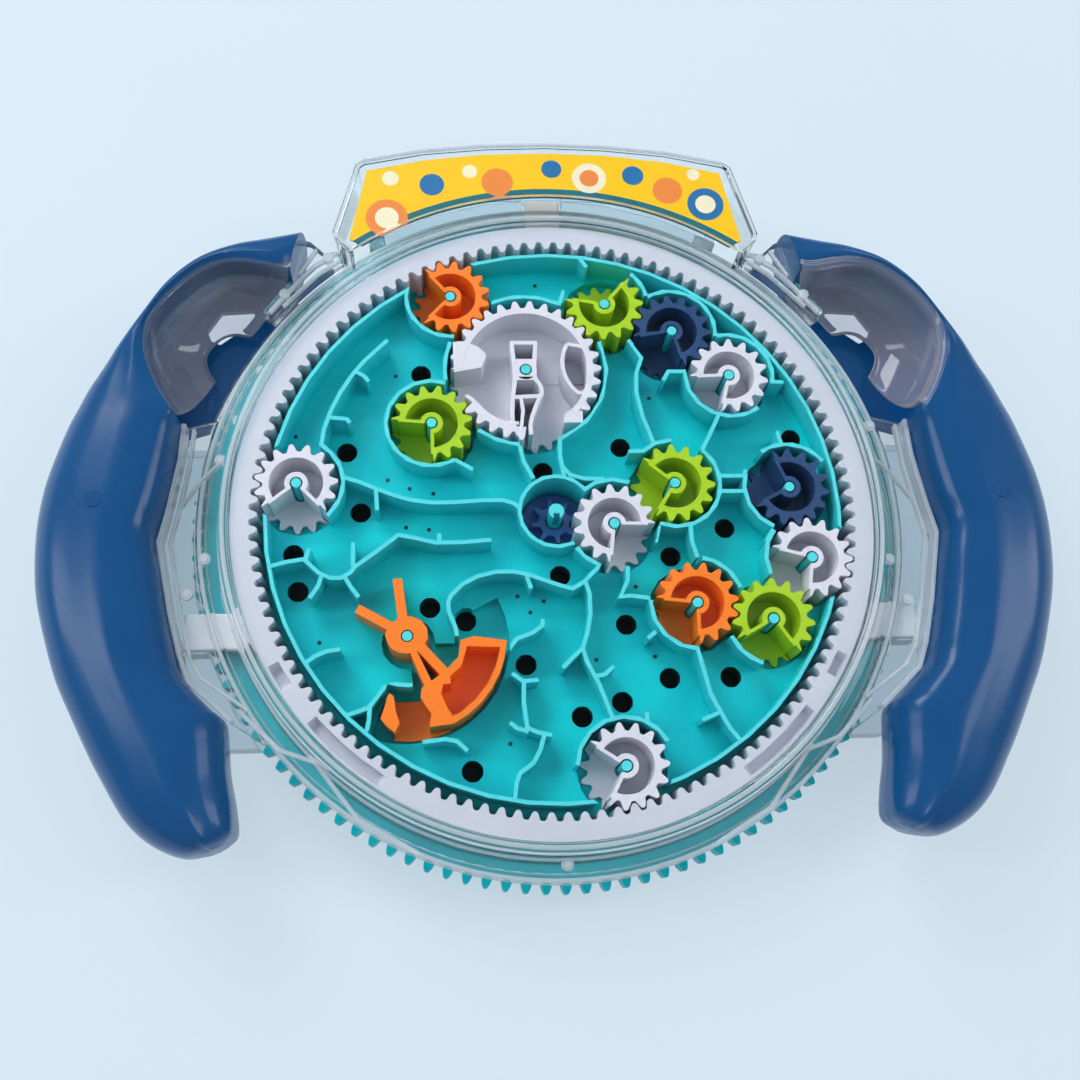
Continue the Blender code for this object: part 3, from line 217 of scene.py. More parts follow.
def moulded(tree, shader, colour, clouds, gloss):
    """Moulded plastic group, linked to the shader's colour; gloss is its lowest and highest roughness."""
    body = node(tree, "ShaderNodeGroup", {"node_tree": plastic}, Colour=colour, Clouds=clouds,
                Gloss_Low=gloss[0], Gloss_High=gloss[1])
    tree.links.new(body.outputs["Colour"], shader.inputs["Base Color"])
    return body


def plastic_material(name, code, gloss, clouds=0.1, coat=0.0, shine=0.5):
    """Moulded plastic of one colour; shine is how strongly its surface mirrors the room."""
    made, tree, shader = new_material(name)
    body = moulded(tree, shader, linear(code), clouds, gloss)
    scratched(tree, shader, 70.0, 0.05, body.outputs["Roughness"])
    relief(tree, shader, 0.12, GRAIN_DEPTH, body.outputs["Height"])
    shader.inputs["Specular IOR Level"].default_value = shine
    shader.inputs["Coat Weight"].default_value = coat
    shader.inputs["Coat Roughness"].default_value = 0.06
    return made


grip_blue = plastic_material("grip_blue", "005490", (0.2, 0.27), 0.08, 0.1, shine=0.36)
white = plastic_material("gear_white", "D8D6E1", (0.36, 0.46), 0.05)
ring_white = plastic_material("ring_white", "C6C9D5", (0.4, 0.5), 0.05)
orange = plastic_material("gear_orange", "FA7C14", (0.34, 0.44), 0.1)
lime = plastic_material("gear_lime", "A6CC12", (0.34, 0.44), 0.1)
navy = plastic_material("gear_navy", "1E4270", (0.3, 0.42), 0.1)
bright_navy = plastic_material("bright_navy", "2B5FA0", (0.3, 0.42), 0.1)
# The lugs are ring plastic in a whiter tone: painted light that lifts them out of the shade under the clear
# deck.
lit_lug_white = plastic_material("lit_lug_white", "F4F3F8", (0.36, 0.46), 0.04)
# Dark teal for painted shade: the disc on the pan under the maze, the sleeves in the trap holes and the pin
# holes.
shade_teal = plastic_material("shade_teal", "04272C", (0.5, 0.6), 0.1)
print("plastics:", [m.name for m in bpy.data.materials])

# %% [markdown]
# The maze plate is one teal moulding, but its thin wall tops look much paler than the floor:
# light runs through the wall and leaves at the top edge, where highlights also gather.  That light
# is painted into the colour, which is therefore mixed by height, with a soft step just under the wall top.

# %% Maze teal
FLOW_DEPTH = 0.03 * MM
maze_teal, tree, shader = new_material("maze_teal")
place = object_place(tree)
height = node(tree, "ShaderNodeSeparateXYZ", Vector=place).outputs[2]
# Painted light: the walls turn paler as they rise, and paler again at the very top edge.
rise = map_range(tree, height, (FLOOR_Z + 0.5) * MM, (WALL_TOP - 0.15) * MM, 0.0, 0.45,
                 {"interpolation_type": "SMOOTHSTEP"})
painted_edge_glint = map_range(tree, height, (WALL_TOP - 0.5) * MM, (WALL_TOP - 0.05) * MM, 0.0, 0.5)
painted_wall_light = math_node(tree, "ADD", rise, painted_edge_glint)
flow = noise(tree, place, 45.0, 4.0, Distortion=1.2)
floor_tone = mix_colour(tree, map_range(tree, flow, 0.35, 0.68, 0.0, 1.0), linear("00BCC8"), linear("00CED4"))
tone = mix_colour(tree, painted_wall_light, floor_tone, linear("56D4DC"))
body = moulded(tree, shader, tone, 0.06, (0.3, 0.42))
scratched(tree, shader, 60.0, 0.15, body.outputs["Roughness"])
relief(tree, shader, 0.2, FLOW_DEPTH, flow)
shader.inputs["Specular IOR Level"].default_value = 0.22
print("maze teal mixed by height")

# %% [markdown]
# Clear styrene: smooth and slightly bluish.  Light for the pieces underneath has to pass it,
# so a shadow ray sees it as almost fully transparent.  The flat window and the banner tray
# are wiped clean and mirror almost nothing, so they bend light less than the thick walls.

# %% Clear plastic
RIPPLE_DEPTH = 0.05 * MM


def clear_material(name, code, shadow, clearness, gloss, bend=1.46):
    """Clear plastic; what is left of its clearness is milky, and bend is how strongly it refracts."""
    made, tree, shader = new_material(name)
    ripple = noise(tree, object_place(tree), 30.0)
    scratched(tree, shader, 50.0, 0.06, gloss)
    relief(tree, shader, 0.05, RIPPLE_DEPTH, ripple)
    shader.inputs["Base Color"].default_value = linear(code)
    shader.inputs["Transmission Weight"].default_value = clearness
    shader.inputs["IOR"].default_value = bend
    through = node(tree, "ShaderNodeBsdfTransparent", Color=linear(shadow))
    shadow_ray = node(tree, "ShaderNodeLightPath").outputs["Is Shadow Ray"]
    mixed = node(tree, "ShaderNodeMixShader", i0=shadow_ray, i1=shader.outputs[0], i2=through.outputs[0])
    tree.links.new(mixed.outputs[0], tree.nodes["Material Output"].inputs["Surface"])
    return made


clear = clear_material("clear_plastic", "FAFDFE", "F8FDFF", 0.975, 0.02)
# Milky clear for rims, ribs, studs, lips and beads: painted highlight for the bright glint along clear edges.
glint_clear_rim = clear_material("glint_clear_rim", "F4F7FB", "F2FAFD", 0.6, 0.05)
clear_shell = clear_material("clear_shell", "E6F2F8", "EAF6FB", 0.9, 0.06)
clear_frame = clear_material("clear_frame", "FCFEFF", "FDFEFF", 1.0, 0.01, 1.3)
window_clear = clear_material("window_clear", "FEFFFF", "FDFEFF", 1.0, 0.0, 1.12)
clear_bowl = clear_material("clear_bowl", "F2EEF4", "E4EAF2", 0.88, 0.02)
print("clear plastics:", [m.name for m in bpy.data.materials if "clear" in m.name])

# %% [markdown]
# The card behind the banner plate is printed with a plain dot design: a yellow ground and
# dots in orange, blue and cream.  Along the wheel a dark teal band is painted on as shade.  Each dot is a
# mask from one small group with a middle and a radius in millimetres.

# %% Node group: printed dot
SOFT_EDGE = 0.1
dot, taken, given = new_group(
    "printed_dot",
    [("X", "NodeSocketFloat", 0.0), ("Y", "NodeSocketFloat", 0.0), ("Radius", "NodeSocketFloat", 5.0)],
    [("Mask", "NodeSocketFloat")])
flat = node(dot, "ShaderNodeSeparateXYZ", Vector=object_place(dot))
wide = math_node(dot, "SUBTRACT", math_node(dot, "MULTIPLY", flat.outputs[0], 1 / MM), taken["X"])
tall = math_node(dot, "SUBTRACT", math_node(dot, "MULTIPLY", flat.outputs[1], 1 / MM), taken["Y"])
wide_squared = math_node(dot, "MULTIPLY", wide, wide)
tall_squared = math_node(dot, "MULTIPLY", tall, tall)
away = math_node(dot, "SQRT", math_node(dot, "ADD", wide_squared, tall_squared))
past_edge = math_node(dot, "SUBTRACT", away, taken["Radius"])
dot.links.new(map_range(dot, past_edge, SOFT_EDGE, -SOFT_EDGE, 0.0, 1.0), given["Mask"])
print("group:", dot.name)

# %% [markdown]
# The dots are laid over the yellow ground one by one, so a later dot covers an earlier one.
# The painted shade along the wheel is one large dark dot about the turning axis.  Print on card mirrors
# little light.

# %% Printed card
card, tree, shader = new_material("printed_card")
DOTS = [(-46.0, 82.0, 6.0, "F08A3C"), (-46.0, 82.0, 3.4, "F6EBC8"), (-33.0, 93.0, 3.6, "1F6FA8"),
        (-22.0, 97.5, 2.2, "F6EBC8"), (-14.0, 94.0, 4.6, "F08A3C"), (2.0, 98.5, 3.0, "1F6FA8"),
        (13.0, 95.5, 5.0, "F6EBC8"), (13.0, 95.5, 2.8, "F08A3C"), (26.0, 96.5, 3.2, "1F6FA8"),
        (36.0, 91.5, 4.4, "F08A3C"), (47.0, 87.0, 5.4, "1F6FA8"), (47.0, 87.0, 3.0, "F6EBC8"),
        (44.0, 97.0, 1.9, "F6EBC8"), (-45.0, 95.0, 2.4, "F6EBC8")]
# Painted shade: a dark teal band along the wheel edge of the card.
SHADE_BAND = (0.0, AXIS_Y, 97.4, "0E6C78")
tone = linear("FFC800")
for x, y, radius, code in [SHADE_BAND] + DOTS:
    spot = node(tree, "ShaderNodeGroup", {"node_tree": dot}, X=x, Y=y, Radius=radius)
    tone = mix_colour(tree, spot.outputs["Mask"], tone, linear(code))
body = moulded(tree, shader, tone, 0.04, (0.35, 0.45))
tree.links.new(body.outputs["Roughness"], shader.inputs["Roughness"])
shader.inputs["Specular IOR Level"].default_value = 0.25
print("card dots:", len(DOTS))

# %% [markdown]
# The loose ball is polished steel: full metal, low roughness and a trace of scratches.

# %% Polished steel
steel, tree, shader = new_material("polished_steel")
shader.inputs["Base Color"].default_value = linear("C4C6CC")
shader.inputs["Metallic"].default_value = 1.0
scratched(tree, shader, 300.0, 0.3, 0.12)
print("steel ready")

# %% [markdown]
# Each solid takes the finish of its own piece.  Most of them are replaced by smoother pieces
# further on.  Those that stay in sight get smooth shading over their small folds and, apart
# from the maze plate and the ball, a narrow bevel that catches the light along their edges.

# %% Dress the solids
FINISHES = (
    (orange, "gear_a gear_m gate_lever"), (white, "gear_b gear_e gear_g gear_k gear_l gear_o"),
    (lime, "gear_c gear_f gear_h gear_n"), (navy, "gear_d gear_i"), (bright_navy, "sun_pinion"),
    (ring_white, "ring_gear"), (maze_teal, "maze_plate thumb_wheel centre_post"), (steel, "steel_ball"),
    (grip_blue, "left_grip_front left_grip_back right_grip_front right_grip_back"),
    (card, "banner_label"), (clear_frame, "banner_frame"), (clear_shell, "back_shell"),
    (clear, "clear_cover left_thumb_scoop right_thumb_scoop"),
)
LOOK = {name: look for look, names in FINISHES for name in names.split()}
BEVEL = {"gate_lever": 0.3, "back_shell": 0.4, "sun_pinion": 0.15, "centre_post": 0.2}
BEVEL_FOLD = math.radians(32)
SHARP_FOLD = math.radians(34)
WELD_REACH = 0.01
rounding = bpy.data.node_groups.new("round_shading", "GeometryNodeTree")
rounding.interface.new_socket("Geometry", in_out="INPUT", socket_type="NodeSocketGeometry")
rounding.interface.new_socket("Geometry", in_out="OUTPUT", socket_type="NodeSocketGeometry")
fold = node(rounding, "GeometryNodeInputMeshEdgeAngle").outputs["Unsigned Angle"]
sharp = node(rounding, "FunctionNodeCompare", {"operation": "GREATER_THAN"}, A=fold, B=SHARP_FOLD)
solid = rounding.nodes.new("NodeGroupInput").outputs[0]
faces = node(rounding, "GeometryNodeSetShadeSmooth", {"domain": "FACE"}, Geometry=solid, Shade_Smooth=True)
edges = node(rounding, "GeometryNodeSetShadeSmooth", {"domain": "EDGE"}, Geometry=faces.outputs[0],
             Selection=sharp.outputs[0], Shade_Smooth=False)
rounding.links.new(edges.outputs[0], rounding.nodes.new("NodeGroupOutput").inputs[0])


def bevelled(piece, width, steps, fold):
    """Round every edge that folds more than this angle."""
    edge = piece.modifiers.new("bevel", "BEVEL")
    edge.width = width * MM
    edge.segments = steps
    edge.limit_method = "ANGLE"
    edge.angle_limit = fold
    edge.harden_normals = True


for name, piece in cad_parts.items():
    piece.data.materials.clear()
    piece.data.materials.append(LOOK[name])
    weld = piece.modifiers.new("weld", "WELD")
    weld.merge_threshold = WELD_REACH * MM
    piece.modifiers.new("round_shading", "NODES").node_group = rounding
    if name in BEVEL:
        bevelled(piece, BEVEL[name], 2, BEVEL_FOLD)
print("dressed:", len(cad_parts))

# %% [markdown]
# The round, turned pieces come from one profile swept about the turning axis, and the flat
# moulded ones from an outline with a thickness.  Both helpers give the new piece its finish
# and the body of the toy that it moves with.

# %% Shape helpers


def curve_through(points, steps):
    """Smooth curve through points, with this many steps between neighbours."""
    knots = [Vector(p) for p in points]
    knots = [knots[0] * 2 - knots[1]] + knots + [knots[-1] * 2 - knots[-2]]
    smooth = []
    for a, b, c, d in zip(knots, knots[1:], knots[2:], knots[3:]):
        for i in range(steps):
            t = i / steps
            swell = 2 * a - 5 * b + 4 * c - d
            twist = 3 * b - a - 3 * c + d
            smooth.append(0.5 * (2 * b + (c - a) * t + swell * t * t + twist * t ** 3))
    return smooth + [knots[-2]]


def ring_of(radius, steps, centre=(0.0, 0.0)):
    """Points of a circle, anticlockwise."""
    turns = [2 * math.pi * i / steps for i in range(steps)]
    return [(centre[0] + radius * math.cos(t), centre[1] + radius * math.sin(t)) for t in turns]


def arc_of(radius, start, end, steps):
    """Points along part of a circle about the axis, both ends included; angles in degrees."""
    turns = [math.radians(start + (end - start) * i / steps) for i in range(steps + 1)]
    return [(radius * math.cos(t), radius * math.sin(t)) for t in turns]


def band_of(points, width):
    """Outline of a line drawn with this width."""
    line = [Vector(p) for p in points]
    sides = [[], []]
    for i, point in enumerate(line):
        along = (line[min(i + 1, len(line) - 1)] - line[max(i - 1, 0)]).normalized()
        across = Vector((-along.y, along.x)) * width / 2
        sides[0].append(tuple(point + across))
        sides[1].append(tuple(point - across))
    return sides[0] + sides[1][::-1]


def finish_piece(name, mesh, look, body, smooth=40.0, bevel=0.0, node_name=None):
    """Turn a mesh in millimetres about the turning axis into a finished piece of the toy.

    It rides on the body and, where a node is named, takes the place of that solid.
    """
    data = bpy.data.meshes.new(name)
    bmesh.ops.recalc_face_normals(mesh, faces=mesh.faces)
    for vertex in mesh.verts:
        vertex.co = Vector((vertex.co.x, vertex.co.y + AXIS_Y, vertex.co.z)) * MM
    mesh.to_mesh(data)
    mesh.free()
    data.materials.append(look)
    data.shade_smooth()
    data.set_sharp_from_angle(angle=math.radians(smooth))
    made = bpy.data.objects.new(name, data)
    bpy.context.scene.collection.objects.link(made)
    if bevel:
        bevelled(made, bevel, 3, math.radians(smooth))
    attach(made, body)
    if node_name:
        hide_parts(node_name)
    return made


def slabs(parts):
    """Mesh of upright prisms; each part is (outline, low, high), the outline anticlockwise."""
    mesh = bmesh.new()
    for outline, low, high in parts:
        base = [mesh.verts.new((x, y, low)) for x, y in outline]
        top = [mesh.verts.new((x, y, high)) for x, y in outline]
        mesh.faces.new(base[::-1])
        mesh.faces.new(top)
        for i in range(len(base)):
            j = (i + 1) % len(base)
            mesh.faces.new([base[i], base[j], top[j], top[i]])
    return mesh


def close_tube(mesh, rows):
    """Faces between neighbouring rows of points, round both ways."""
    for near, far in zip(rows, rows[1:] + rows[:1]):
        for k in range(len(near)):
            m = (k + 1) % len(near)
            mesh.faces.new([near[k], far[k], far[m], near[m]])


def strips(mesh, rows):
    """Faces between neighbouring rows of points, open at both ends of a row."""
    for low, high in zip(rows, rows[1:]):
        for k in range(len(low) - 1):
            mesh.faces.new([low[k], low[k + 1], high[k + 1], high[k]])


def turned(profile, steps, wave=None):
    """Mesh of a closed profile of (radius, height) swept about the axis.

    A wave gives the radius that a corner has at an angle.
    """
    mesh = bmesh.new()
    rows = []
    for i in range(steps):
        angle = 2 * math.pi * i / steps
        row = []
        for radius, height in profile:
            reach = wave(angle, radius) if wave else radius
            row.append(mesh.verts.new((reach * math.cos(angle), reach * math.sin(angle), height)))
        rows.append(row)
    close_tube(mesh, rows)
    return mesh


def mirrored(outline):
    """The same outline on the right-hand side."""
    return [(-x, y) for x, y in reversed(outline)]


print("shape helpers ready")

# %% [markdown]
# The gears are the heart of the toy.  Each one is a toothed cup: a round rim with rounded
# teeth, a hub open to one side, and two straight walls that frame the ball pocket.  All of
# them are placed by the rule that keeps a train in mesh: a gear stands at the sum of the
# two pitch radii from its driver, with a little play, turned so that its teeth meet the gaps
# of the driver.  The list gives driver, direction from it, pocket from and to, and colour.

# %% Gear train: places and tooth turn
MODULE = 1.36
TEETH = {"ring": 120, "sun": 8, "gear_b": 30}
SMALL_TEETH = 15
SUN_TURN = 10.0
CENTRE_PLAY = 0.55
RING_PLAY = 0.3
TRAIN = {
    "gear_a": ("ring", 113.3, 133.5, 219.5, orange), "gear_g": ("ring", 172.8, 210.5, 302.5, white),
    "gear_l": ("ring", -11.5, 171.5, 267.5, white), "gear_o": ("ring", -77.4, 144.5, 240.5, white),
    "gear_b": ("gear_a", -47.6, 0.0, 0.0, white), "gear_c": ("gear_b", 41.4, 60.5, 164.5, lime),
    "gear_f": ("gear_b", 211.1, 168.5, 262.5, lime), "gear_d": ("gear_c", -24.2, 183.5, 275.5, navy),
    "gear_e": ("gear_d", -41.9, 170.5, 264.5, white), "gear_i": ("gear_l", 102.1, 111.5, 206.5, navy),
    "gear_n": ("gear_l", -125.6, 204.5, 298.5, lime), "gear_m": ("gear_n", 166.7, 175.5, 276.5, orange),
    "gear_k": ("sun", -13.3, 264.5, 359.5, white), "gear_h": ("gear_k", 33.5, 138.5, 231.5, lime),
}


def pitch(teeth):
    """Pitch radius of a gear."""
    return MODULE * teeth / 2


def place_train():
    """Centre and tooth turn of every gear, from its driver."""
    placed = {"sun": (Vector((0.0, 0.0)), SUN_TURN, TEETH["sun"])}
    for name, (driver, direction, *_) in TRAIN.items():
        teeth = TEETH.get(name, SMALL_TEETH)
        step = 360.0 / teeth
        away = Vector((math.cos(math.radians(direction)), math.sin(math.radians(direction))))
        if driver == "ring":
            centre = away * (pitch(TEETH["ring"]) - pitch(teeth) - RING_PLAY)
            phase = direction + step * (0.5 - direction / (360.0 / TEETH["ring"]))
        else:
            origin, driver_phase, driver_teeth = placed[driver]
            centre = origin + away * (pitch(teeth) + pitch(driver_teeth) + CENTRE_PLAY)
            phase = direction + 180.0 - step * ((driver_phase - direction) / (360.0 / driver_teeth) + 0.5)
        placed[name] = (centre, phase % step, teeth)
    return placed


PLACED = place_train()
print("gears placed:", len(PLACED) - 1)

# %% [markdown]
# The fixed ring is one white moulding with 120 short, round-tipped teeth inside.  In four
# places its flat top is sunk into a shallow bay, which ends in soft steps, and three broad
# lugs hold it in the housing.  The ring is swept about the axis in ten steps to a tooth.

# %% Ring gear
BAYS = ((-151.5, -146.5), (-33.5, -28.5), (-57.0, -40.5), (-139.5, -123.0))
BAY_DEPTH = 2.6
BAY_RAMP = 1.2
RING_STEPS = TEETH["ring"] * 10
RING_BOTTOM = 15.9
RING_ROOT = 82.9
RING_TOOTH = 2.25
TOOTH_SHARE = 0.62
RING_OUTSIDE = 87.95
LUG_TOP = 18.6
LUGS = (((-5.2, 5.2), (87.0, 102.9)), ((-100.3, -80.0), (-35.1, -24.9)), ((80.0, 100.3), (-35.1, -24.9)))


def bay_depth(angle):
    """How far the top is sunk at an angle in degrees."""
    depth = 0.0
    for start, end in BAYS:
        inside = min(angle - start, end - angle)
        depth = max(depth, min(max(inside / BAY_RAMP, 0.0), 1.0))
    return BAY_DEPTH * depth * depth * (3 - 2 * depth)


def ring_section(angle):
    """Corners (radius, height) of the ring at an angle in degrees."""
    share = (angle / (360.0 / TEETH["ring"])) % 1.0
    peak = max(0.0, 1.0 - (abs(share - round(share)) * 2.0 / TOOTH_SHARE) ** 2.4)
    inner = RING_ROOT - RING_TOOTH * peak ** 0.7
    sunk = WALL_TOP - bay_depth((angle + 180.0) % 360.0 - 180.0)
    return [(inner, RING_BOTTOM), (inner, WALL_TOP - 0.2), (inner + 0.15, WALL_TOP), (84.1, WALL_TOP),
            (84.4, sunk), (86.9, sunk), (87.2, WALL_TOP), (87.8, WALL_TOP), (RING_OUTSIDE, WALL_TOP - 0.2),
            (RING_OUTSIDE, RING_BOTTOM)]


ring_mesh = bmesh.new()
rows = []
for i in range(RING_STEPS):
    angle = i * (360.0 / RING_STEPS)
    turn = math.radians(angle)
    rows.append([ring_mesh.verts.new((r * math.cos(turn), r * math.sin(turn), z))
                 for r, z in ring_section(angle)])
close_tube(ring_mesh, rows)
finish_piece("toothed_ring", ring_mesh, ring_white, "housing", 36.0, 0.0, "ring_gear")
# The lugs take the whiter tone, painted light against the shade under the deck.
lugs = [([(left, near), (right, near), (right, far), (left, far)], RING_BOTTOM, LUG_TOP)
        for (left, right), (near, far) in LUGS]
finish_piece("ring_lugs", slabs(lugs), lit_lug_white, "housing", 30.0, 0.6)
print("ring steps:", RING_STEPS, "lugs:", len(lugs))

# %% [markdown]
# A gear is laid together from upright prisms that overlap: the thin disc, the toothed rim,
# the open hub and the pocket walls.  Their tops differ by a few hundredths of a millimetre,
# so that no two faces lie in one plane, and a fine bevel rounds every edge.  A tooth has
# eight corners, each a reach past the pitch circle and a place between its two flanks.

# %% Gears
DISC = (15.82, 17.28)
GEAR_TOP = 27.98
FLANK = ((-1.08, -1.0), (0.2, -1.0), (0.85, -1.0), (1.12, -0.45), (1.12, 0.45), (0.85, 1.0), (0.2, 1.0),
         (-1.08, 1.0))
TOOTH_PLAY = 0.1
FLANK_SLOPE = 0.414
TOOTH_ROOT = 1.1
CUP_WALL = 1.8
RIM_INSET = TOOTH_ROOT + CUP_WALL
PIN_BORE = 1.75
HUB = 3.2
NEARLY_ROUND = 359.9


def toothed_arc(teeth, phase, start, end):
    """Outer line of a gear between two angles, with rounded tooth tips and gaps."""
    radius = pitch(teeth)
    step = 360.0 / teeth
    points = []
    for i in range(math.floor((start - phase) / step) - 1, math.ceil((end - phase) / step) + 2):
        middle = phase + step * i
        for reach, side in FLANK:
            half_width = MODULE * math.pi / 4 - TOOTH_PLAY - reach * FLANK_SLOPE
            half = math.degrees(half_width / (radius + reach))
            angle = middle + side * half
            if start <= angle <= end:
                points.append((radius + reach, angle))
    return [(r * math.cos(math.radians(a)), r * math.sin(math.radians(a))) for r, a in points]


def moved(outline, centre):
    """Outline carried to a centre."""
    return [(x + centre[0], y + centre[1]) for x, y in outline]


def open_band(inner, outer, start, end):
    """Part of a flat ring with round edges."""
    steps = max(4, int((end - start) / 5))
    return arc_of(outer, start, end, steps) + arc_of(inner, end, start, steps)


def small_gear(name):
    """Toothed cup with an open hub and a ball pocket between two walls, each in line with a tooth."""
    centre, phase, teeth = PLACED[name]
    step = 360.0 / teeth
    start, end = (phase + step * round((angle - phase) / step) for angle in TRAIN[name][2:4])
    rim = pitch(teeth) - RIM_INSET
    whole = toothed_arc(teeth, phase, end, end + NEARLY_ROUND)
    bore = arc_of(PIN_BORE, end + NEARLY_ROUND, end, 32)
    parts = [(whole + bore, *DISC)]
    teeth_line = toothed_arc(teeth, phase, end, start + 360.0)
    parts.append((teeth_line + arc_of(rim, start + 360.0, end, 60), DISC[0] + 0.02, GEAR_TOP))
    parts.append((open_band(PIN_BORE, HUB, end - 8.0, start + 368.0), DISC[0] + 0.04, GEAR_TOP - 0.04))
    for angle, side in ((start, -1), (end, 1)):
        ray = Vector((math.cos(math.radians(angle)), math.sin(math.radians(angle))))
        across = Vector((-ray.y, ray.x)) * side * 0.5
        line = band_of([ray * 2.0 + across * 0.2, ray * (pitch(teeth) - 1.0) + across * 0.2], 1.0)
        parts.append((line, DISC[0] + 0.06, GEAR_TOP - 0.02))
    return [(moved(outline, centre), low, high) for outline, low, high in parts]


def big_gear():
    """Large gear with a barred window, a curved guide wall, a block and a lens pocket."""
    centre, phase, teeth = PLACED["gear_b"]
    rim = pitch(teeth) - RIM_INSET
    bore = arc_of(PIN_BORE, NEARLY_ROUND, 0.0, 32)
    local = [(toothed_arc(teeth, phase, 0.0, NEARLY_ROUND) + bore, *DISC)]
    for start, end in ((213.0, 269.0), (314.0, 540.0)):
        rim_part = toothed_arc(teeth, phase, start, end) + arc_of(rim, end, start, 90)
        local.append((rim_part, DISC[0] + 0.02, GEAR_TOP))
    local.append((open_band(PIN_BORE, HUB, 0.0, NEARLY_ROUND), DISC[0] + 0.04, GEAR_TOP - 0.06))
    bar_left = [(-10.9, 50.9), (-10.3, 42.0), (-10.3, 38.5), (-11.0, 33.5), (-11.2, 26.5), (-9.6, 22.4)]
    bar_right = [(-4.1, 50.9), (-4.7, 40.8), (-3.2, 37.5), (-2.8, 35.0), (-4.2, 32.0), (-6.1, 26.5),
                 (-6.2, 22.4)]
    guide = [(-9.5, 26.0), (-12.0, 26.0), (-15.0, 26.8), (-18.5, 29.0), (-22.0, 32.8), (-24.2, 34.5)]
    block = [(-27.6, 51.0), (-24.0, 51.0), (-20.5, 49.5), (-18.0, 47.0), (-19.5, 43.0), (-27.4, 41.5)]
    end_block = [(3.2, 26.0), (8.5, 26.0), (8.5, 29.5), (5.5, 30.2), (3.4, 28.6)]
    lens = [(4.9, 50.3), (10.1, 48.2), (10.5, 38.0), (8.0, 35.0), (5.1, 38.0), (3.6, 42.2), (3.6, 46.8)]
    spine = [(-8.7, 33.4), (-8.2, 30.0), (-8.9, 24.6)]
    rungs = [[(-11.2, 50.6), (-3.8, 50.6)], [(-10.6, 45.0), (-4.4, 45.0)], [(-10.6, 39.6), (-4.0, 39.6)],
             [(-11.3, 33.8), (-3.2, 34.2)]]
    placed = []
    for order, (line, width) in enumerate([(bar_left, 1.2), (bar_right, 1.2), (guide, 1.1)]):
        layer = 0.01 * order
        smooth = band_of(curve_through(line, 5), width)
        placed.append((smooth, DISC[0] + 0.08 + layer, GEAR_TOP - 0.03 - layer))
    for order, line in enumerate(rungs):
        placed.append((band_of(line, 1.2), DISC[0] + 0.12, GEAR_TOP - 0.05 - 0.005 * order))
    placed.append((band_of(spine, 1.0), DISC[0] + 0.14, GEAR_TOP - 0.08))
    lens_wall = band_of(curve_through(lens + lens[:1], 5), 1.1)
    placed.append((lens_wall, DISC[0] + 0.1, GEAR_TOP - 0.09))
    placed += [(block, DISC[0] + 0.16, GEAR_TOP - 0.1), (end_block, DISC[0] + 0.18, GEAR_TOP - 0.1)]
    return [(moved(outline, centre), low, high) for outline, low, high in local] + placed


for name in TRAIN:
    parts = big_gear() if name == "gear_b" else small_gear(name)
    look = TRAIN[name][4]
    finish_piece(f"{name}_cup", slabs(parts), look, f"{name}_body", 34.0, 0.14, name)
print("gears:", len(TRAIN))

# %% [markdown]
# Each grip is two glossy blue shells that meet at half height.  Their surface is one flowing
# form from the banner to the tip of the horn, so it is lofted: cross sections are given
# along the grip and a smooth curve is run through every corner of them.  Where the thumb
# bowl sits, the section is only a narrow rolled rim.  A section is given by its outer and
# inner edge as (distance past the skirt, place along the toy), how far it turns over at each
# edge, and its share of the full height.

# %% Grips
SIDES = ((-1, "left"), (1, "right"))
SKIRT = 97.8
PARTING = 23.0
HALF_HEIGHT = 13.85
CROWN = 0.9
SEAM = 0.1
SCOOP_SECTIONS = [
    ((-27.8, 85.6), (-24.6, 71.4), 5.0, 1.2, 0.86), ((-18.3, 83.6), (-21.0, 71.0), 6.0, 1.2, 0.95),
    ((-8.9, 80.8), (-10.0, 72.6), 4.6, 1.0, 0.98), ((1.1, 75.9), (-1.3, 70.2), 3.6, 1.0, 1.0),
    ((9.1, 68.5), (7.2, 62.9), 3.4, 1.0, 1.0), ((16.2, 58.3), (12.6, 54.5), 3.4, 1.0, 1.0),
    ((23.1, 47.9), (13.6, 48.0), 5.6, 1.0, 1.0), ((26.8, 42.2), (12.4, 41.7), 8.5, 1.0, 1.0),
    ((30.4, 36.5), (9.1, 34.1), 11.0, 1.2, 1.0), ((33.2, 30.5), (5.2, 28.0), 13.0, 1.6, 1.0),
]
FEED_MARK = (121.4, 2.0)
PALM_SECTIONS = [
    ((35.7, 24.5), (5.6, 22.5), 14.0, 4.0, 1.0), ((39.3, 12.3), (6.8, 10.5), 15.0, 6.0, 1.0),
    ((40.7, 4.5), (8.4, 2.1), 15.0, 6.0, 1.0), ((41.3, -3.4), (10.2, -6.1), 15.0, 6.0, 1.0),
    ((41.0, -13.0), (8.3, -15.5), 15.0, 6.5, 1.0), ((39.8, -22.2), (6.3, -25.7), 15.0, 7.0, 1.0),
    ((37.0, -32.5), (3.1, -37.7), 14.5, 7.5, 1.0), ((33.2, -43.7), (0.5, -44.4), 14.0, 8.0, 1.0),
    ((28.7, -53.0), (-6.3, -51.6), 13.0, 9.0, 1.0), ((23.7, -62.8), (-9.8, -54.8), 12.0, 9.0, 1.0),
    ((20.3, -68.8), (-10.7, -60.5), 12.0, 9.0, 1.0), ((13.9, -79.0), (-11.6, -68.5), 11.0, 9.0, 0.99),
    ((7.2, -85.3), (-13.2, -76.5), 10.0, 8.0, 0.95), ((-0.7, -88.9), (-13.7, -83.2), 6.5, 5.0, 0.8),
    ((-6.3, -88.6), (-11.6, -86.2), 2.6, 2.0, 0.45),
]


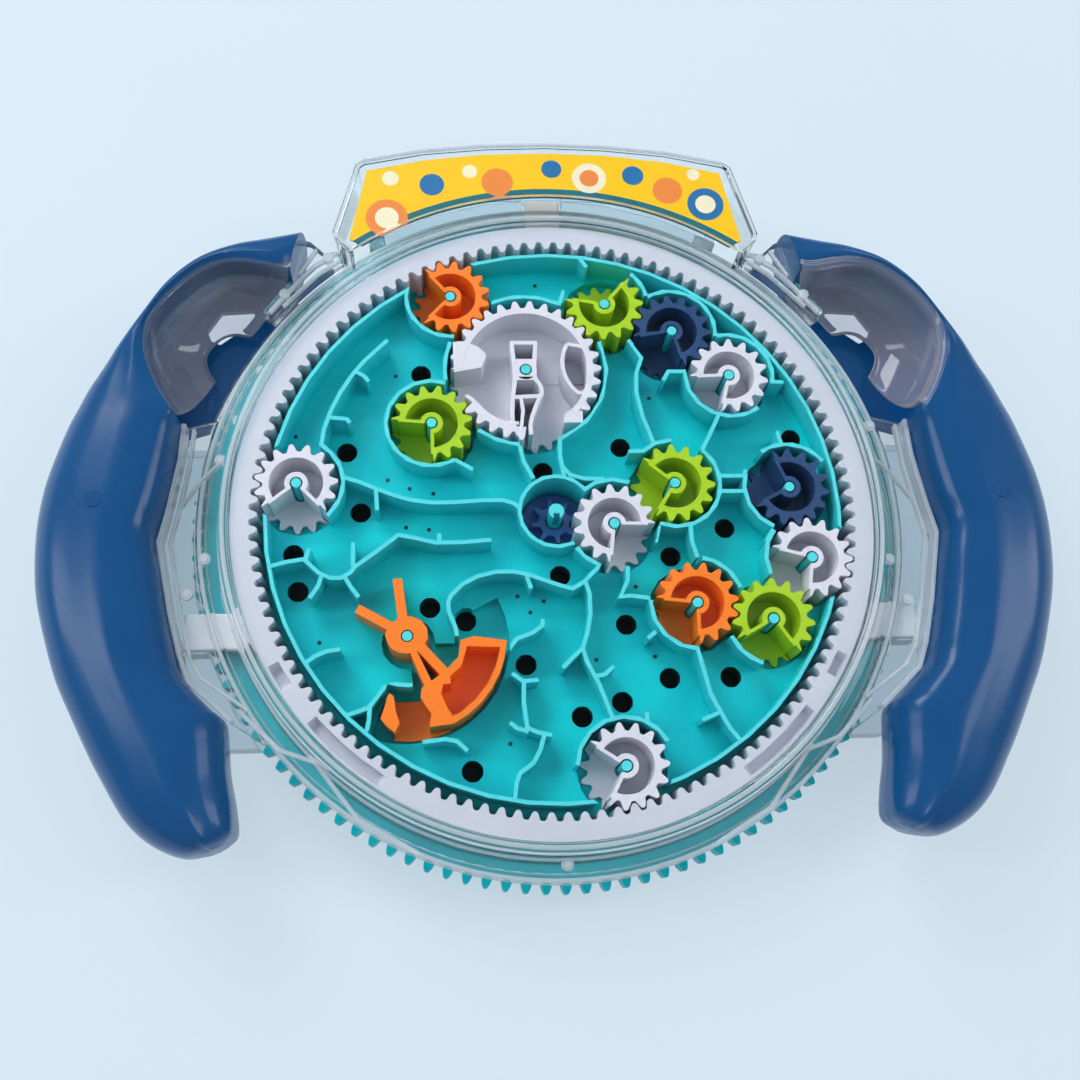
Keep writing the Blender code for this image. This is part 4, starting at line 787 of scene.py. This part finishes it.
def grip_section(outer, inner, turn_out, turn_in, share, front):
    """Rounded cross section, from the outer edge over the crown to the inner edge."""
    start = Vector((-SKIRT - outer[0], outer[1]))
    across = Vector((-SKIRT - inner[0], inner[1])) - start
    width = across.length
    across.normalize()
    edge = HALF_HEIGHT * share - CROWN
    quarter = [math.pi / 2 * i / 9 for i in range(10)]
    profile = [(turn_out * (1 - math.cos(a)), edge * math.sin(a)) for a in quarter]
    flat = width - turn_in - turn_out
    profile += [(turn_out + flat * t, edge + CROWN * math.sin(math.pi * t)) for t in (0.2, 0.4, 0.6, 0.8)]
    profile += [(width - turn_in + turn_in * math.sin(a), edge - turn_in * (1 - math.cos(a)))
                for a in [math.pi / 2 * i / 5 for i in range(6)]]
    profile.append((width, 0.0))
    sign = 1 if front else -1
    points = []
    for distance, height in profile:
        place = start + across * distance
        points.append(Vector((place.x, place.y, PARTING + sign * (SEAM + height))))
    return points


def grip_shell(side, front):
    """Lofted shell through the smoothed corners of all its sections."""
    sections = [grip_section(*section, front) for section in SCOOP_SECTIONS + PALM_SECTIONS]
    rails = [curve_through([section[k] for section in sections], 6) for k in range(len(sections[0]))]
    mesh = bmesh.new()
    rows = [[mesh.verts.new((-side * p.x, p.y, p.z)) for p in rail] for rail in rails]
    strips(mesh, rows + rows[:1])
    mesh.faces.new([row[0] for row in rows])
    mesh.faces.new([row[-1] for row in reversed(rows)])
    return mesh


for side, word in SIDES:
    for front, half in ((True, "front"), (False, "back")):
        finish_piece(f"{word}_grip_{half}_shell", grip_shell(side, front), grip_blue, "housing",
                     35.0, 0.0, f"{word}_grip_{half}")
for side, word in SIDES:
    spot = (side * FEED_MARK[0], FEED_MARK[1])
    mark = slabs([(ring_of(2.3, 32, spot), 36.2, 36.98), (ring_of(0.9, 20, spot), 36.9, 37.0)])
    finish_piece(f"{word}_feed_mark", mark, grip_blue, "housing", 30.0, 0.03)
print("grip shells: 4, sections in each:", len(SCOOP_SECTIONS + PALM_SECTIONS))

# %% [markdown]
# Under each thumb bowl the back grip runs on as a flat blue ledge, with a hole through which
# the table shows.  It is a thin plate cut to the edge of the bowl.  The outline runs into the
# hole and back through a hairline slit.

# %% Ledges under the bowls
LEDGE_ARC = 101.8
LEDGE = (11.2, 13.2)
bowl_edge = [(-SKIRT - inner[0], inner[1]) for _, inner, *_ in SCOOP_SECTIONS[::-1]]
bowl_edge = [tuple(p) for p in curve_through(bowl_edge, 6)]
arc_back = arc_of(LEDGE_ARC, 136, 163, 9)
gap = [(-99.4, 61.9), (-95.6, 68.0), (-86.2, 68.6), (-85.6, 66.8), (-88.2, 62.9), (-95.4, 57.4),
       (-98.1, 58.6)]
bridge = min(range(len(bowl_edge)), key=lambda i: (Vector(bowl_edge[i]) - Vector(gap[0])).length)
slit = [tuple(Vector(a).lerp(Vector(b), 0.01)) for a, b in (gap[:2], bowl_edge[bridge:bridge + 2])]
ledge_outline = bowl_edge[:bridge + 1] + gap[:1] + gap[:0:-1] + slit + bowl_edge[bridge + 1:] + arc_back
for side, word in SIDES:
    outline = ledge_outline if side < 0 else mirrored(ledge_outline)
    finish_piece(f"{word}_ledge", slabs([(outline, *LEDGE)]), grip_blue, "housing", 35.0)
print("ledge corners:", len(ledge_outline))

# %% [markdown]
# The thumb bowls are clear, slightly smoky shells.  A quarter ellipse makes their depth: steep
# at the rim and flat in the middle.  One sheet is made, from the rolled lip down, and then
# thickened.

# %% Thumb bowls
BOWL_MIDDLE = Vector((-92.0, 52.0))
BOWL_LIP = [(1.035, 35.6), (1.015, 36.0), (0.995, 35.6)]
BOWL_RIM = 34.8
BOWL_DEPTH = 18.6
BOWL_WALL = 1.2


def bowl_sheet(side):
    """Open quarter-ellipse bowl inside the rim, with a small lip over the grip."""
    mesh = bmesh.new()
    rows = []
    turns = [1.32 * i / 14 for i in range(15)]
    inside = [(0.985 * math.cos(a) ** 0.8, BOWL_RIM - BOWL_DEPTH * math.sin(a)) for a in turns]
    for scale, height in BOWL_LIP + inside:
        row = []
        for x, y in bowl_edge:
            point = BOWL_MIDDLE + (Vector((x, y)) - BOWL_MIDDLE) * scale
            row.append(mesh.verts.new((-side * point.x, point.y, height)))
        rows.append(row)
    strips(mesh, rows)
    return mesh


for side, word in SIDES:
    bowl = finish_piece(f"{word}_bowl", bowl_sheet(side), clear_bowl, "housing", 60.0, 0.0,
                        f"{word}_thumb_scoop")
    thick = bowl.modifiers.new("thickness", "SOLIDIFY")
    thick.thickness = BOWL_WALL * MM
    thick.offset = -1.0 if side < 0 else 1.0
print("bowls: 2")

# %% [markdown]
# The clear housing is one moulding in reality.  Here the window is a disc of its own, because
# it must stay nearly invisible, while the drum wall, the flat deck and the skirt are turned
# from one profile.  Milky beads on its steps are painted highlights for the bright glints that the moulded
# edges catch.

# %% Clear housing: window, drum and skirt
DRUM_PROFILE = [
    (88.7, 19.0), (88.7, 29.3), (88.3, 29.8), (88.5, 30.6), (89.1, 30.9), (89.7, 30.5), (90.1, 30.8),
    (90.7, 30.4), (90.8, 28.5), (90.8, 22.4), (91.6, 21.4), (92.8, 21.0), (95.4, 21.0), (95.8, 21.6),
    (97.0, 21.7), (97.7, 21.1), (97.9, 20.0), (97.9, 14.7), (96.2, 14.7), (96.1, 19.0),
]
BEADS = [(89.6, 30.5, 0.62), (90.9, 27.6, 0.4), (92.0, 21.2, 0.5), (97.2, 21.3, 0.6), (97.7, 16.4, 0.45)]
WINDOW_RADIUS = 88.1


def clear_piece(name, parts, look, bevel, node_name=None):
    """Clear upright prisms on the housing."""
    finish_piece(name, slabs(parts), look, "housing", 30.0, bevel, node_name)


finish_piece("drum", turned(DRUM_PROFILE, 192), clear, "housing", 30.0, 0.0, "clear_cover")
for number, (radius, height, thick) in enumerate(BEADS):
    bead = turned(ring_of(thick, 8, (radius, height)), 180)
    finish_piece(f"bead_{number}", bead, glint_clear_rim, "housing", 60.0)
clear_piece("window", [(ring_of(WINDOW_RADIUS, 128), 28.9, 30.3)], window_clear, 0.25)
print("drum profile corners:", len(DRUM_PROFILE), "beads:", len(BEADS))

# %% [markdown]
# Beside the drum the deck widens into plates that run to the grips.  Their rims stand up as
# a thick bright edge, V-shaped ribs stiffen the lower corners, and small studs are left
# where the mould was fed.  Rims, ribs and studs are milky, a painted highlight for the glint of clear edges.
# A rim or rib is a line, its width, and its low and high end.

# %% Clear housing: side plates, ribs and studs
PLATE_EDGE = [(-98.3, -44.4), (-100.9, -37.7), (-104.1, -25.7), (-108.0, -6.1), (-106.2, 2.1), (-103.6, 17.3),
              (-103.0, 28.0)]
inside_edge = [(x + 0.9, y) for x, y in PLATE_EDGE]
side_plate = [(-76.6, -61.8), (-87.8, -54.2)] + inside_edge + arc_of(SKIRT + 0.5, 162, 216, 18)
RIMS = [
    ([(-86.0, -54.9)] + inside_edge, 1.3, 19.2, 24.6),
    ([(-99.6, 27.0), (-100.4, 16.0), (-102.6, 3.0), (-104.4, -6.0), (-100.8, -25.5), (-97.6, -38.0),
      (-94.2, -43.5), (-82.0, -52.0)], 0.9, 20.8, 23.4),
    ([(-102.0, 4.5), (-97.0, 12.0), (-91.5, 17.5)], 0.8, 20.8, 23.0),
    ([(-66.0, -64.0), (-53.5, -80.5), (-38.0, -89.5)], 1.2, 20.8, 23.8),
    ([(-64.0, -66.0), (-73.5, -62.6), (-84.0, -52.5)], 1.2, 20.8, 23.8),
    ([(-64.8, -65.0), (-60.5, -67.8)], 1.4, 20.8, 24.2),
]
plates = []
ribs = []
for flip in (list, mirrored):
    plates.append((flip(side_plate), 19.1, 20.9))
    ribs += [(flip(band_of(line, width)), low, high) for line, width, low, high in RIMS]
clear_piece("side_plates", plates, clear, 0.35)
clear_piece("ribs", ribs, glint_clear_rim, 0.3)
STUDS = [(-95.3, -10.4), (-99.6, -20.2), (-87.7, 29.8), (-92.2, 18.1), (-0.2, -93.2), (93.4, -13.3),
         (97.6, -24.9), (92.4, 27.0), (-78.3, 50.4), (-81.8, 45.1), (80.2, 48.0)]
studs = []
for spot in STUDS:
    studs += [(ring_of(1.7, 24, spot), 20.8, 22.2), (ring_of(1.1, 24, spot), 22.1, 23.0)]
clear_piece("studs", studs, glint_clear_rim, 0.3)
print("plates, ribs and studs:", len(plates), len(ribs), len(STUDS))

# %% [markdown]
# The banner frame is a thin clear tray: a front plate with a wall round three sides, open
# toward the drum.  The printed card lies just under the plate and runs down to the drum.
# Both outlines are right halves of (turn from the top in degrees, distance past the skirt).
# Clear shoulders with raised ridges fill the corners between the frame and the grips.

# %% Banner frame, card and shoulders
FRAME_EDGE = [(0.0, 13.9), (9.2, 14.7), (18.2, 17.2), (26.8, 20.6), (27.8, 20.2), (36.8, 4.6), (37.2, 2.6),
              (36.6, -2.8)]
CARD_EDGE = [(0.0, 11.6), (9.4, 12.5), (18.2, 14.6), (26.7, 17.6), (35.1, 0.7), (34.0, -2.8)]
FRAME_MIDDLE = Vector((0.0, 96.0))
FRAME_SHARE = 0.985


def over_drum(points):
    """Outline over the drum, made whole from its right half."""
    right_half = [((SKIRT + past) * math.sin(math.radians(t)), (SKIRT + past) * math.cos(math.radians(t)))
                  for t, past in points]
    return [(-x, y) for x, y in reversed(right_half[1:])] + right_half


def tray_wall(width):
    """Wall of one width just inside the left, top and right edges of the frame."""
    edge = [FRAME_MIDDLE.lerp(Vector(p), FRAME_SHARE) for p in over_drum(FRAME_EDGE)]
    return band_of(edge, width)


frame_front = over_drum(FRAME_EDGE) + arc_of(SKIRT - 3.0, 55.0, 125.0, 24)
clear_piece("banner_plate", [(frame_front, 33.3, 35.0)], clear_frame, 0.35, "banner_frame")
clear_piece("banner_wall", [(tray_wall(1.3), 21.6, 33.2)], clear_frame, 0.3)
clear_piece("banner_lip", [(tray_wall(0.9), 34.9, 35.25)], glint_clear_rim, 0.15)
card_front = over_drum(CARD_EDGE) + arc_of(SKIRT - 2.9, 56.2, 123.8, 24)
card_slab = slabs([(card_front, 32.5, 33.0)])
finish_piece("banner_card", card_slab, card, "housing", 30.0, 0.0, "banner_label")
SHOULDER = [(-58.4, 79.6), (-61.0, 81.0), (-64.2, 80.2), (-68.4, 84.0), (-70.6, 84.6), (-73.6, 71.8),
            (-81.4, 61.4)]
RIDGES = [([(-60.5, 79.8), (-66.8, 75.6), (-72.2, 69.6), (-79.4, 60.6)], 1.2),
          ([(-66.5, 81.0), (-71.4, 72.6)], 1.0), ([(-59.6, 77.6), (-65.6, 73.2), (-75.6, 62.6)], 0.9)]
shoulders = []
ridges = []
for flip in (list, mirrored):
    shoulders.append((flip(SHOULDER + arc_of(98.2, 143.0, 127.0, 8)), 20.9, 26.4))
    ridges += [(flip(band_of(line, width)), 26.0, 27.6) for line, width in RIDGES]
    ridges += [(flip(ring_of(1.5, 24, point)), 26.0, 28.4) for point in ((-63.2, 77.8), (-75.2, 66.2))]
clear_piece("shoulders", shoulders, clear, 0.5)
clear_piece("shoulder_ridges", ridges, glint_clear_rim, 0.3)
print("frame corners:", len(frame_front), "card corners:", len(card_front))

# %% [markdown]
# The knurled edge that the thumbs turn has 118 narrow pegs with round tips.  The radius of
# the rim is changed along the sweep by one rounded pulse per peg.  The pan under the maze lies
# in deep shade, so a thin dark disc on it makes the trap holes look black.

# %% Thumb wheel
THUMB_TEETH = 118
RIM = 97.3
PEG_ROOT = 97.4
PEG_LENGTH = 3.1
PEG_SHARE = 0.5
WHEEL_PROFILE = [(4.7, 5.2), (4.7, 7.2), (86.0, 7.2), (86.0, 13.1), (92.6, 13.1), (92.6, 14.1), (RIM, 14.1),
                 (RIM, 8.1), (92.6, 8.1), (92.6, 5.2)]
SHADE_PROFILE = [(4.9, 7.22), (85.8, 7.22), (85.8, 7.28), (4.9, 7.28)]


def peg(angle, radius):
    """Radius of the rim at an angle: root, or a rounded peg."""
    if radius < RIM:
        return radius
    phase = ((angle + math.pi / 2) * THUMB_TEETH / (2 * math.pi)) % 1.0
    across = abs(phase - round(phase)) * 2.0
    rise = max(0.0, 1.0 - (across / PEG_SHARE) ** 2.6)
    return PEG_ROOT + PEG_LENGTH * rise ** 0.6


wheel = turned(WHEEL_PROFILE, THUMB_TEETH * 10, peg)
finish_piece("knurled_wheel", wheel, maze_teal, "wheel", 40.0, 0.0, "thumb_wheel")
finish_piece("pan_shade", turned(SHADE_PROFILE, 64), shade_teal, "wheel", 40.0)
print("pegs:", THUMB_TEETH)

# %% [markdown]
# The ball can fall through round holes in the maze floor.  A fine lip gives each hole a true
# circle and a dark sleeve of painted shade lines it down to the bottom of the plate.  The hole that the gate
# lever passes over lies in the sunk floor.  The pin holes left by the mould are dark dots of painted shade.
# A corner is a radius and a rise from the floor, or None at the bottom of the plate.

# %% Trap collars and pin holes
TRAPS = [
    (-36.8, 44.9), (-57.7, 21), (-53.7, 3.1), (-71.9, -8.8), (-70.4, -19.3), (-34.8, -24.4), (-25.1, -27.5),
    (-9.1, -40.7), (-24, -68.8), (-2.7, 14.6), (19.8, 21.8), (1.1, -15.9), (18.7, -30.1), (32.2, -10.9),
    (48.1, -2.8), (69.6, 24.1), (29.8, -45.2), (46.5, -45.2), (16.5, -51.4), (5.5, -55.1),
]
PLATE_BOTTOM = 13.6
SUNK_TRAP = (-25.1, -27.5)
SUNK_FLOOR = 15.5
LIP = ((2.86, -0.4), (2.86, -0.1), (2.96, 0.02), (3.3, 0.02), (3.3, -0.4))
SHADE_SLEEVE = ((2.82, None), (2.82, -0.3), (3.0, -0.3), (3.0, None))
PIN_HOLE = (0.6, FLOOR_Z - 0.2, FLOOR_Z + 0.03)
for name, section, look in (("trap_lips", LIP, maze_teal), ("trap_shade_sleeves", SHADE_SLEEVE, shade_teal)):
    collars = bmesh.new()
    for x, y in TRAPS:
        level = SUNK_FLOOR if (x, y) == SUNK_TRAP else FLOOR_Z
        rows = []
        for radius, rise in section:
            height = PLATE_BOTTOM if rise is None else level + rise
            rows.append([collars.verts.new((px, py, height)) for px, py in ring_of(radius, 28, (x, y))])
        close_tube(collars, rows)
    finish_piece(name, collars, look, "wheel", 40.0)
PINHOLES = [
    (-72.1, 25.9), (-46.3, 12.6), (-40.2, 10), (-33.6, 8.5), (-41.2, -1.4), (-34.9, -2.1), (-64.4, -33.5),
    (-10.9, -21.6), (-3.7, -23.1), (-7.5, -26.2), (-13.9, -61.8), (21.9, -19.4), (10, -39.7), (26.1, -39.1),
    (-44.1, 44.4), (-3, 73.6), (29, 37.1),
]
pins = [(ring_of(PIN_HOLE[0], 16, point), *PIN_HOLE[1:]) for point in PINHOLES]
finish_piece("pin_hole_shades", slabs(pins), shade_teal, "wheel", 40.0)
print("traps and pin holes:", len(TRAPS), len(PINHOLES))

# %% [markdown]
# The toy lies on a pale blue surface with no edge in sight.  The paper is bright and even, so
# part of its tone does not depend on the lamps, and the shadow of the toy stays soft on it.

# %% Floor
FLOOR_REACH = 3.0
FLOOR_DROP = 0.3 * MM
EVEN_SHARE = 0.6
floor_mesh = bmesh.new()
bmesh.ops.create_grid(floor_mesh, x_segments=1, y_segments=1, size=FLOOR_REACH)
floor_data = bpy.data.meshes.new("floor")
floor_mesh.to_mesh(floor_data)
floor_mesh.free()
floor = bpy.data.objects.new("floor", floor_data)
bpy.context.scene.collection.objects.link(floor)
floor.location.z = -FLOOR_DROP
paper, tree, shader = new_material("pale_floor")
fibre = noise(tree, object_place(tree), 9.0, 4.0)
paper_tone = mix_colour(tree, fibre, linear("DFF1FC"), linear("E4F4FE"))
tree.links.new(paper_tone, shader.inputs["Base Color"])
shader.inputs["Roughness"].default_value = 0.75
ray = node(tree, "ShaderNodeLightPath")
bounced = math_node(tree, "ADD", ray.outputs["Is Glossy Ray"], ray.outputs["Is Transmission Ray"])
seen = math_node(tree, "ADD", ray.outputs["Is Camera Ray"], bounced)
share = math_node(tree, "MULTIPLY", math_node(tree, "MINIMUM", seen, 1.0), EVEN_SHARE)
even = node(tree, "ShaderNodeEmission", Color=paper_tone)
mixed = node(tree, "ShaderNodeMixShader", i0=share, i1=shader.outputs[0], i2=even.outputs[0])
tree.links.new(mixed.outputs[0], tree.nodes["Material Output"].inputs["Surface"])
floor_data.materials.append(paper)
print("floor laid")

# %% [markdown]
# Soft studio light: a pale sky all round, one broad panel high behind the toy, and a panel on
# each side that draws the long highlights on the grips.

# %% Lights
world = bpy.data.worlds.new("studio")
world.use_nodes = True
world.node_tree.nodes["Background"].inputs["Color"].default_value = linear("DDEBF5")
world.node_tree.nodes["Background"].inputs["Strength"].default_value = 0.5
bpy.context.scene.world = world


def panel(name, place, size, power):
    """Rectangular soft light aimed at the toy."""
    data = bpy.data.lights.new(name, "AREA")
    data.shape = "RECTANGLE"
    data.size, data.size_y = size
    data.energy = power
    made = bpy.data.objects.new(name, data)
    bpy.context.scene.collection.objects.link(made)
    made.location = place
    made.rotation_euler = (-Vector(place)).to_track_quat("-Z", "Y").to_euler()


panel("key_panel", (-0.55, 0.85, 0.8), (0.7, 0.5), 5.6)
panel("left_panel", (-0.85, 0.1, 0.7), (0.25, 0.8), 2.0)
panel("right_panel", (0.85, 0.1, 0.7), (0.25, 0.8), 2.0)
